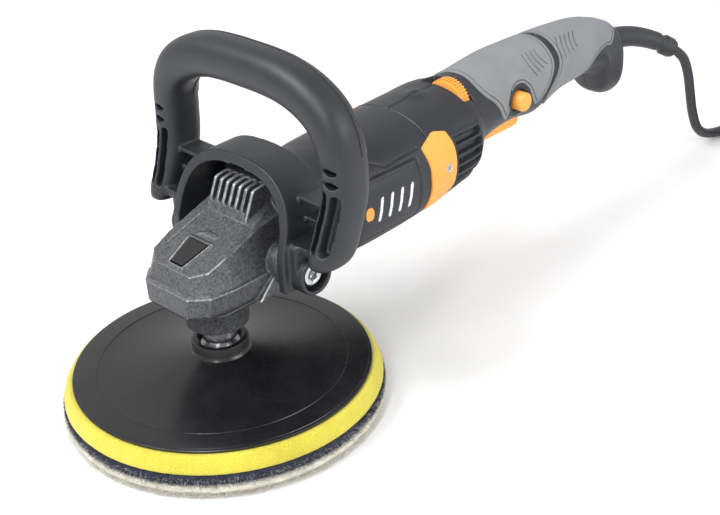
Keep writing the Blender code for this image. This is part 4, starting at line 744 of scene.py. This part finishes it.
# %% Foam and wool
def soft_disc(name, profile, steps, material, waves, depth):
    """A turned pad whose skin wanders by a small depth, without a seam."""
    piece = turned(name, profile, steps, material, crease=60)
    random.seed(5)
    parts = [(random.randint(5, waves), random.uniform(0, 6.3), random.uniform(0, 6.3)) for _ in range(14)]
    for vertex in piece.data.vertices:
        x, y, z = vertex.co
        radius, angle = math.hypot(x, y), math.atan2(y, x)
        if radius > 0.04:
            push = depth * sum(math.sin(n * angle + a) * math.sin(z * 700 + b) for n, a, b in parts) / 5
            vertex.co = (x * (1 + push / radius), y * (1 + push / radius), z)
    return piece


foam_profile = mm((0, 14.1), (88, 14.1), (89.5, 14.4), (90, 15), (89.9, 16.5), (89.3, 18.5), (88.4, 20.5),
                  (87.4, 22.2), (86.6, 23.3), (85.8, 23.8), (84.6, 23.9), (0, 23.9))
foam = soft_disc("foam_ring", foam_profile, 480, foam_yellow, 90, 0.00012)
place_piece(foam, "foam", "foam_pad", body="spindle")
core = turned("bristle_backing", [(0, 0.0082), (0.0893, 0.0082), (0.0898, 0.009), (0.0898, 0.013),
                                  (0.0893, 0.0137), (0, 0.0137)], 200, bristle_navy)
place_piece(core, "bristle", "hook_layer", body="spindle")
wool_profile = mm((0, 1.2), (70, 1), (85, 1.2), (88.5, 2), (90, 3.5), (90.5, 5.2), (89.8, 6.8), (88, 7.7),
                  (0, 7.7))
wool = soft_disc("wool_base", wool_profile, 480, wool_cream, 120, 0.00025)
place_piece(wool, "wool", "wool_pad", body="spindle")

# %% [markdown]
# ### Fibres by Geometry Nodes
# The edge of the pads is a fringe of dark and white bristles, with wool below. A node tree puts a thin
# spike on every point of a mesh, turned the way the point says and stretched by chance. The speed
# wheel's ribs come from a tree of the same kind. Its result is kept as a plain mesh.


# %% Trees that scatter a shape
def scatter_tree(name, inputs, kinds, wires):
    """A group with nodes made from kinds, and sockets joined as wires says."""
    tree = bpy.data.node_groups.new(name, "GeometryNodeTree")
    ports = {port: tree.interface.new_socket(port, in_out="INPUT", socket_type="NodeSocket" + kind).identifier
             for port, kind in (("Geometry", "Geometry"), ("Material", "Material"), *inputs)}
    tree.interface.new_socket("Geometry", in_out="OUTPUT", socket_type="NodeSocketGeometry")
    kinds = {"given": "NodeGroupInput", "place": "GeometryNodeInstanceOnPoints",
             "align": "FunctionNodeAlignRotationToVector", "real": "GeometryNodeRealizeInstances",
             "paint": "GeometryNodeSetMaterial", "result": "NodeGroupOutput", **kinds}
    made = {key: tree.nodes.new(kind) for key, kind in kinds.items()}
    for wire in ("align.Rotation > place.Rotation", "place.Instances > real.Geometry",
                 "real.Geometry > paint.Geometry", "given.Material > paint.Material", *wires):
        (start, out), (end, into) = (half.split(".") for half in wire.split(" > "))
        tree.links.new(made[start].outputs[int(out) if out.isdigit() else out], made[end].inputs[into])
    return tree, ports, made


def grown(piece, tree, ports, values):
    """The piece with what the tree makes of it."""
    step = piece.modifiers.new(tree.name, "NODES")
    step.node_group = tree
    for port, value in values.items():
        step[ports[port]] = value
    return applied(piece)


FIBRES, FIBRE_PORTS, made = scatter_tree(
    "fibres", (("Length", "Float"), ("Radius", "Float"), ("Seed", "Int")),
    {"spike": "GeometryNodeMeshCone", "heading": "GeometryNodeInputNamedAttribute",
     "spread": "FunctionNodeRandomValue"},
    ("given.Geometry > place.Points", "spike.Mesh > place.Instance", "spread.1 > place.Scale",
     "given.Radius > spike.Radius Bottom", "given.Length > spike.Depth", "given.Seed > spread.Seed",
     "paint.Geometry > result.Geometry"))
made["align"].axis = "Z"
made["spread"].data_type = "FLOAT"
made["heading"].data_type = "FLOAT_VECTOR"
for key, socket, value in (("spike", "Vertices", 3), ("spike", "Side Segments", 2), ("spread", "Min", 0.75),
                           ("spread", "Max", 1.15), ("heading", "Name", "heading")):
    made[key].inputs[socket].default_value = value
FIBRES.links.new(made["heading"].outputs["Attribute"], made["align"].inputs["Vector"])


def fringe(name, count, low, high, radius_at, lift, length, thickness, material, seed):
    """Fibres round the pads, from one height to another, that lean outwards by lift."""
    random.seed(seed)
    mesh = bpy.data.meshes.new(name)
    roots, headings = [], []
    for _ in range(count):
        angle, z = random.uniform(0, 2 * math.pi), random.uniform(low, high)
        tilt, swing = random.uniform(-0.45, 0.45) + lift, angle + random.uniform(-0.5, 0.5)
        radius = radius_at - random.uniform(0, 0.0009)
        roots.append((radius * math.cos(angle), radius * math.sin(angle), z))
        headings.append((math.cos(swing), math.sin(swing), tilt))
    mesh.from_pydata(roots, [], [])
    mesh.attributes.new("heading", "FLOAT_VECTOR", "POINT").data.foreach_set(
        "vector", [value for heading in headings for value in heading])
    piece = bpy.data.objects.new(name, mesh)
    scene.collection.objects.link(piece)
    grown(piece, FIBRES, FIBRE_PORTS,
          {"Length": length, "Radius": thickness, "Seed": seed, "Material": material})
    piece.data.shade_smooth()
    return piece


# Slot, name, count, lowest and highest root, radius, lift, length, thickness, finish and seed of each.
FRINGES = (
    ("bristle", "bristles_dark", 9000, 0.0084, 0.0137, 0.0896, 0.05, 0.0022, 0.00019, bristle_navy, 11),
    ("bristle", "bristles_light", 2600, 0.0078, 0.0126, 0.0897, -0.05, 0.0023, 0.00016, bristle_white, 12),
    ("wool", "wool_pile", 12000, 0.0012, 0.008, 0.0898, -0.1, 0.0027, 0.0002, wool_cream, 13),
)
for slot, name, *rest in FRINGES:
    place_piece(fringe(name, *rest), slot, body="spindle")


# %% [markdown]
# ## The body
# Motor housing and rear handle share one skin, a tube whose section changes along its length. `skin`
# gives its points from a place along the body and a turn round it. `relief` adds up every groove, louvre
# and raised edge, as a depth along the normal.

# %% Skin of the body
BODY = mm((46, 62, 129, 34.5), (72, 62, 129, 35), (84, 62.5, 129, 38), (128, 64.5, 130, 39.2),
          (165, 69, 131, 38.8), (179, 73, 131.8, 38), (187, 77, 132, 35), (192, 80, 132, 29.5),
          (199, 82.5, 132, 26.2), (208, 86, 132, 25.2), (222, 88.5, 133.5, 24.6), (240, 89, 135, 24.3),
          (259, 86, 134.8, 23.6), (272, 90.5, 134.2, 22.8), (290, 94.5, 133.2, 21.8),
          (318, 94.5, 130.6, 21.2), (330, 92, 128.5, 20), (335, 83, 127.2, 19), (339, 75, 125.8, 18),
          (346, 71.5, 123.4, 17), (354, 71.5, 119.2, 16), (358.5, 74, 114, 14), (360, 81, 107, 10))
SQUARE = (2.0, 2.0, 2.25, 2.3, 2.25, 2.2, 2.2, 2.1, 2.1, 2.1, 2.1, 2.1, 2.1, 2.1, 2.1, 2.1, 2.2, 2.4, 2.6,
          2.7, 2.7, 2.5, 2.2)
HOUSING_FRONT, HOUSING_REAR, BODY_END = 0.048, 0.141, 0.36
sections = spline([(*row, square) for row, square in zip(BODY, SQUARE)], 6)
BUTTON_X, BUTTON_Z, KNOB_X, FRONT_RING_X = 0.233, 0.11, 0.165, 0.062
DIAL_X, DIAL_Y, DIAL_Z = 0.1875, -0.007, 0.1208


def section(x):
    bottom, top, half, square = (np.interp(x, sections[:, 0], sections[:, k]) for k in range(1, 5))
    return (bottom + top) / 2, (top - bottom) / 2, half, square


def skin(x, turn, out=0.0):
    """Points of the body's skin, raised by out. turn is 0 at the top and positive to the right."""
    middle, tall, half, square = section(x)
    s, c = np.sin(turn), np.cos(turn)
    y = half * np.sign(s) * np.abs(s) ** (2 / square)
    z = middle + tall * np.sign(c) * np.abs(c) ** (2 / square)
    ny = np.sign(s) * np.abs(s) ** (2 - 2 / square) / half
    nz = np.sign(c) * np.abs(c) ** (2 - 2 / square) / tall
    size = np.hypot(ny, nz)
    return np.stack([x + 0 * y, y + out * ny / size, z + out * nz / size], -1)


def turn_at(x, z, side):
    """The turn at which the skin has a height, on one side."""
    middle, tall, _, square = section(x)
    share = np.clip((z - middle) / tall, -1, 1)
    return side * np.arccos(np.sign(share) * np.abs(share) ** (square / 2))


def rise_in(depth, width):
    """0 outside a shape, smoothly up to 1 at width inside it."""
    t = np.clip(depth / width, 0, 1)
    return t * t * (3 - 2 * t)


def hat(distance, half_width):
    """1 at no distance, smoothly down to 0 at half_width."""
    return rise_in(1 - np.abs(distance) / half_width, 1)


def in_box(u, v, u_range, v_range):
    """Depth inside a rectangle, negative outside."""
    return np.minimum(np.minimum(u - u_range[0], u_range[1] - u), np.minimum(v - v_range[0], v_range[1] - v))


def line_distance(u, v, line, closed=False):
    """Distance to a line of straight pieces."""
    best = np.full(np.shape(u), 1.0)
    ends = line[1:] + line[:1] if closed else line[1:]
    for (au, av), (bu, bv) in zip(line, ends):
        du, dv = bu - au, bv - av
        t = np.clip(((u - au) * du + (v - av) * dv) / max(du * du + dv * dv, 1e-16), 0, 1)
        best = np.minimum(best, np.hypot(u - au - t * du, v - av - t * dv))
    return best


LOUVRE_X, LOUVRE_Z, LOUVRE_PITCH = (0.158, 0.1835), (0.0835, 0.117), 0.0062
CREASE = mm((60, 120), (92, 122.5), (104, 116.5), (130, 118))
LOWER_CREASE = mm((60, 79), (90, 73.5), (129, 75.5))
LABEL_X, LABEL_Z = (0.0765, 0.1262), (0.0782, 0.1142)


def relief(x, points):
    y, z = points[..., 1], points[..., 2]
    flank, top = np.abs(y) > 0.016, z > 0.11
    frame = in_box(x, z, LOUVRE_X, LOUVRE_Z)
    phase = np.abs((z - LOUVRE_Z[0] - 0.0013) % LOUVRE_PITCH - LOUVRE_PITCH / 2)
    out = flank * (0.0007 * hat(frame - 0.0006, 0.0012) - 0.003 * rise_in(frame - 0.0014, 0.001)
                   * rise_in(0.0024 - phase, 0.001))
    out = out - flank * 0.0009 * hat(in_box(x, z, LABEL_X, LABEL_Z), 0.0009)
    for line in (CREASE, LOWER_CREASE):
        out = out - flank * 0.0008 * hat(line_distance(x, z, line), 0.0009)
    out = out - 0.0008 * hat(x - HOUSING_REAR, 0.0008) - 0.0006 * hat(x - FRONT_RING_X, 0.001)
    out = out - 0.0006 * hat(y, 0.0007) * (x > HOUSING_REAR)
    knob = np.hypot(x - KNOB_X, y)
    out = out + top * (0.0022 * np.exp(-(knob / 0.006) ** 2) - 0.0014 * np.exp(-(knob / 0.0024) ** 2))
    slot = np.minimum(0.0055 - np.abs(x - DIAL_X), 0.017 - np.abs(y - DIAL_Y))
    out = out - top * 0.0065 * rise_in(slot, 0.0009) + top * 0.0006 * hat(slot, 0.0014)
    ring = np.hypot(x - BUTTON_X, z - BUTTON_Z)
    left = (y < -0.01)
    out = out + left * (0.0014 * hat(ring - 0.0095, 0.0026) - 0.0012 * rise_in(0.0074 - ring, 0.0006))
    return out


def skin_piece(name, ends, turns, step, columns):
    """A stretch of the skin with its relief, and a rim turned in at both ends."""
    closed = turns[1] - turns[0] > 6.2
    xs = np.linspace(*ends, int((ends[1] - ends[0]) / step) + 1)
    angles = np.linspace(*turns, columns + 1)[:columns if closed else columns + 1]
    x, turn = np.meshgrid(xs, angles, indexing="ij")
    plain = skin(x, turn)
    grid = skin(x, turn, relief(x, plain))
    rims = [grid[i] + (np.array((grid[i][:, 0].mean(), 0, 0.1)) - grid[i]) * 0.3 * np.array((0, 1, 1))
            for i in (0, -1)]
    rows = np.concatenate([rims[0][None], grid, rims[1][None]])
    mesh = bpy.data.meshes.new(name)
    mesh.from_pydata(rows.reshape(-1, 3).tolist(), [], grid_faces(*rows.shape[:2], closed))
    return dress(name, mesh, charcoal, 35)


front = skin_piece("housing_skin", (HOUSING_FRONT, HOUSING_REAR - 0.0002), (-math.pi, math.pi), 0.0007, 330)
place_piece(front, "housing_plastic", "motor_housing")
for word, turns in (("left", (-math.pi, 0.0)), ("right", (0.0, math.pi))):
    shell = skin_piece(f"handle_skin_{word}", (HOUSING_REAR + 0.0002, BODY_END), turns, 0.00062, 190)
    place_piece(shell, "housing_plastic", f"handle_shell_{word}")


# %% [markdown]
# ### Patches on the skin
# Grips, covers and label panels lie on the skin as thin plates. Their outline is drawn flat, along the
# body and round it, and filled with triangles, dense at the edge and along engraved lines. Lifted onto
# the skin, the plate gets a rounded edge that goes down into the body.

# %% Patch builder
SPREAD = 0.03


def softened_outline(outline, reach):
    """Corners cut three times, each time by less, which rounds them over about reach."""
    line = [np.array(p) for p in outline]
    for _ in range(3):
        made = []
        for a, b in zip(line, line[1:] + line[:1]):
            share = min(0.3, reach / max(float(np.linalg.norm(b - a)), 1e-9))
            made += [a + (b - a) * share, b + (a - b) * share]
        line, reach = made, reach * 0.45
    return line


def spaced(line, step):
    made = []
    for a, b in zip(line, line[1:] + line[:1]):
        count = max(1, round(float(np.linalg.norm(b - a)) / step))
        made += [a + (b - a) * i / count for i in range(count)]
    return made


def inside(u, v, line):
    found = np.zeros(np.shape(u), bool)
    for (au, av), (bu, bv) in zip(line, line[1:] + line[:1]):
        if au != bu:
            crossed = ((au > u) != (bu > u)) & (v < (bv - av) * (u - au) / (bu - au) + av)
            found ^= crossed
    return found


def skin_patch(name, outline, material, height, edge=0.0007, lines=(), border=0.0, depth=0.0006, reach=0.005,
               sink=0.0012):
    """outline holds (x, turn times SPREAD). lines are engraved, and border is a line that far inside."""
    fine, dense = 0.00036, 0.0009
    rim = spaced(softened_outline(outline, reach), 0.0006)
    rim_line = [tuple(p) for p in rim]
    low, high = np.min(rim, 0), np.max(rim, 0)
    i, j = (k.ravel() for k in np.meshgrid(*(np.arange(int(size / fine) + 1) for size in high - low)))
    u, v = low[0] + (i + 0.37) * fine, low[1] + (j + 0.41) * fine
    within = inside(u, v, rim_line)
    u, v, coarse = u[within], v[within], ((i % 3 == 0) & (j % 3 == 0))[within]
    gap = line_distance(u, v, rim_line, True)
    close = gap < edge * 1.6
    if border:
        close |= np.abs(gap - border) < dense
    for line in lines:
        close |= line_distance(u, v, line) < dense
    keep = (gap > 0.00018) & (close | coarse)
    points = [Vector(p) for p in rim_line] + [Vector(p) for p in zip(u[keep].tolist(), v[keep].tolist())]
    ring = [(k, (k + 1) % len(rim)) for k in range(len(rim))]
    made, _, faces, *_ = geometry.delaunay_2d_cdt(points, ring, [], 1, 1e-8)
    flat = np.array([tuple(p) for p in made])
    gap = line_distance(flat[:, 0], flat[:, 1], rim_line, True)
    out = height * np.sqrt(1 - (1 - np.clip(gap / edge, 0, 1)) ** 2)
    groove_and_painted_shade = hat(gap - border, 0.0006) if border else np.zeros(len(flat))
    for line in lines:
        groove_and_painted_shade = np.maximum(groove_and_painted_shade, hat(line_distance(flat[:, 0], flat[:, 1], line), 0.0006))
    out = out - depth * groove_and_painted_shade
    solid = skin(flat[:, 0], flat[:, 1] / SPREAD, out)
    count = len(solid)
    foot = skin(np.array(rim)[:, 0], np.array(rim)[:, 1] / SPREAD, -sink)
    at_rim = [int(np.argmin(np.hypot(flat[:, 0] - p[0], flat[:, 1] - p[1]))) for p in rim]
    a, b, c = (solid[k] for k in faces[0][:3])
    outward = np.dot(np.cross(b - a, c - a), (a - np.array((a[0], 0, 0.105)))) > 0
    faces = [tuple(f) if outward else tuple(f)[::-1] for f in faces]
    used = {(f[k], f[(k + 1) % len(f)]) for f in faces for k in range(len(f))}
    for k in range(len(rim)):
        n = (k + 1) % len(rim)
        p, q = at_rim[k], at_rim[n]
        if p != q:
            faces.append((q, p, count + k, count + n) if (p, q) in used else (p, q, count + n, count + k))
    mesh = bpy.data.meshes.new(name)
    mesh.from_pydata(np.concatenate([solid, foot]).tolist(), [], faces)
    # This attribute sets the groove depth's mask as the grooves' painted shade, which the grip's finish
    # reads.
    mesh.attributes.new("rub_and_painted_light", "FLOAT", "POINT").data.foreach_set(
        "value", np.concatenate([groove_and_painted_shade, np.zeros(len(foot))]).astype(np.float32))
    return dress(name, mesh, material, 50)


def on_side(points, side):
    return [(x, float(turn_at(x, z, side)) * SPREAD) for x, z in points]


# %% [markdown]
# Each grip is a saddle over the top of the handle, with tongues down both flanks, engraved ribs and a
# fine line inside its edge.

# %% Grips
GRIP_FRONT = mm((201, 124), (212, 114), (219, 101), (223, 101), (225, 115), (233, 121.5), (242, 117),
                (249, 102), (253, 100), (272, 118))
GRIP_REAR = mm((278, 118), (260, 98), (270, 94), (290, 98.5), (308, 102), (316, 113), (340, 111),
               (350, 118))


def ribs(first, pitch, count, top, low, lean, curve):
    made = []
    for side in (-1, 1):
        for i in range(count):
            line = []
            for k in range(13):
                t = k / 12
                line.append((first + i * pitch + lean * t - curve * math.sin(math.pi * t),
                             side * SPREAD * (top + (low - 0.05 * i - top) * t)))
            made.append(line)
    return made


for word, shape, crossing, engraved, border in (
        ("front", GRIP_FRONT, (0.203, 0.274), ribs(0.249, 0.0042, 4, 0.55, 1.22, 0.0035, 0.0022), 0.0026),
        ("rear", GRIP_REAR, (0.28, 0.35), ribs(0.286, 0.0046, 5, 0.5, 1.25, -0.006, 0.002), 0.0024)):
    left = on_side(shape, -1)
    loop = [(crossing[0], 0.0)] + left + [(crossing[1], 0.0)] + [(x, -v) for x, v in reversed(left)]
    grip = skin_patch(f"grip_{word}", loop, grip_grey, 0.001, lines=engraved, border=border)
    place_piece(grip, "grip_rubber", f"grip_{word}_left", f"grip_{word}_right")


# %% [markdown]
# The orange covers have nearly sharp corners. The label panels carry a plain row of slanted bars and an
# orange dot, where a machine would have its name.

# %% Covers, panels and screws
COVER = mm((132.8, 117), (146.2, 121.6), (155.2, 119.6), (157.2, 111.5), (157.2, 99), (156.2, 87),
           (146, 78.5), (132.8, 77.5), (135, 90), (135, 106))
PANEL = mm((78.5, 80.5), (124.3, 80.5), (124.3, 111.8), (78.5, 111.8))
SCREW_X, SCREW_Z = 0.15, 0.1
for side, word in ((-1, "left"), (1, "right")):
    cover = skin_patch(f"brush_door_{word}", on_side(COVER, side), trim_orange, 0.0009, edge=0.0004,
                       reach=0.0009, lines=[on_side(((0.1355, 0.113), (0.1565, 0.111)), side)], depth=0.00015)
    place_piece(cover, "orange_plastic", f"brush_cover_{word}")
    panel = skin_patch(f"label_panel_{word}", on_side(PANEL, side), charcoal, 0.0002, edge=0.0004,
                       reach=0.0012)
    place_piece(panel, "black_plastic", f"side_panel_{word}")
    for i in range(4):
        x = 0.0905 + i * 0.008
        bar = ((x, 0.088), (x + 0.0026, 0.088), (x + 0.0062, 0.103), (x + 0.0036, 0.103))
        stripe = skin_patch(f"label_bar_{word}_{i + 1}", on_side(bar, side), label_white, 0.0005, edge=0.0002,
                            reach=0.0009, sink=0.0001)
        place_piece(stripe, "housing_plastic")
    dot = [(0.085 + 0.0034 * math.cos(a / 8 * math.pi), 0.0955 + 0.0046 * math.sin(a / 8 * math.pi))
           for a in range(16)]
    spot = skin_patch(f"label_dot_{word}", on_side(dot, side), trim_orange, 0.0005, edge=0.0002, reach=0.0009,
                      sink=0.0001)
    place_piece(spot, "orange_plastic")
    face = float(section(SCREW_X)[2]) + 0.0014
    profile = [(0, side * (face - 0.004)), (0.0025, side * (face - 0.004)), (0.0025, side * (face - 0.0004)),
               (0.0021, side * face), (0, side * (face + 0.0001))]
    screw = turned(f"door_screw_{word}", profile, 32, ground_steel, "Y", (SCREW_X, 0, SCREW_Z), 30)
    for turn in (0.35, 0.35 + math.pi / 2):
        c, s = math.cos(turn), math.sin(turn)
        cross = [(SCREW_X + a * c - b * s, SCREW_Z + a * s + b * c)
                 for a, b in oblong((-0.0015, 0.0015), (-0.0003, 0.0003))]
        cut(screw, prism("cross", cross, span(side, face - 0.0008, face + 0.002), "Y"))
    place_piece(screw, "steel", f"cover_screw_{word}")


# %% [markdown]
# ## Controls
# The speed wheel is a turned disc with a ring of fine ribs, a small bar on each point of a circle.

# %% Speed wheel
RIB_COUNT, RIB_CIRCLE, RIB_SIZE = 44, 0.014, (0.0012, 0.0009, 0.0058)
RIBS, RIB_PORTS, made = scatter_tree(
    "wheel_ribs", (("Count", "Int"), ("Radius", "Float"), ("Size", "Vector")),
    {"circle": "GeometryNodeMeshCircle", "bar": "GeometryNodeMeshCube", "spot": "GeometryNodeInputPosition",
     "join": "GeometryNodeJoinGeometry"},
    ("given.Count > circle.Vertices", "given.Radius > circle.Radius", "given.Size > bar.Size",
     "circle.Mesh > place.Points", "bar.Mesh > place.Instance", "spot.Position > align.Vector",
     "given.Geometry > join.Geometry", "paint.Geometry > join.Geometry", "join.Geometry > result.Geometry"))
made["align"].axis = "X"
wheel_profile = mm((0, -3.7), (12.6, -3.7), (13.5, -3.4), (13.8, -2.8), (13.8, 2.8), (13.5, 3.4),
                   (12.6, 3.7), (0, 3.7))
wheel = turned("speed_wheel", wheel_profile, 120, trim_orange, "Z")
grown(wheel, RIBS, RIB_PORTS,
      {"Count": RIB_COUNT, "Radius": RIB_CIRCLE, "Size": RIB_SIZE, "Material": trim_orange})
wheel.data.transform(Matrix.Translation((DIAL_X, DIAL_Y, DIAL_Z)) @ Matrix.Rotation(math.pi / 2, 4, "Y"))
place_piece(wheel, "orange_plastic", "speed_dial", body="dial")

# %% [markdown]
# The trigger is a long flat lever with a rounded grip face. The lock-on button is turned, with a rounded
# rim and a slightly domed face.

# %% Trigger and lock-on button
lever = mm((199, 90), (200, 87.2), (203, 85), (212, 83.8), (244, 83.5), (249, 84), (250.8, 85.6), (251, 88),
           (250, 93), (248, 94), (201, 94), (199.5, 93))
trigger = prism("trigger_lever", lever, (-0.0095, 0.0095), "Y", trim_orange)
soften(trigger, 0.0006, 5)
place_piece(trigger, "orange_plastic", "trigger", body="trigger")
cap_profile = mm((0, -16.5), (6, -16.5), (6, -28.8), (5.8, -29.6), (5.3, -30.1), (4.6, -30.4), (3, -30.5),
                 (0, -30.55))
cap = turned("lock_on_cap", cap_profile, 64, trim_orange, "Y", (BUTTON_X, 0, BUTTON_Z), 30)
place_piece(cap, "orange_plastic", "lock_on_button", body="lock_on")

# %% [markdown]
# ## The solids that stay
# What sits inside, and the few outer solids whose shape is right, only get a finish.

# %% Finishes for the solids that stay
BEARINGS = [f"{place}_bearing_{ring}" for place in ("lower", "front", "rear") for ring in ("inner", "outer")]
STAYING = {
    ground_steel: ("spindle", "crown_gear", "pinion_gear", "armature_shaft", "armature_core", "stator",
                   "thread_insert", *BEARINGS),
    plain_brass: ("upper_bush", "brush_holder_left", "brush_holder_right"),
    commutator_copper: ("commutator",),
    carbon: ("carbon_brush_left", "carbon_brush_right"),
    satin_black: ("cooling_fan", "switch_body", "speed_control_board", "bearing_bridge",
                  *(f"flange_screw_{i}" for i in (1, 2, 3, 4))),
}
for finish, names in STAYING.items():
    for name in names:
        nodes[name].data.materials.clear()
        nodes[name].data.materials.append(finish)


# %% [markdown]
# Last, the scene is brought up to date.

# %% Close
bpy.context.view_layer.update()
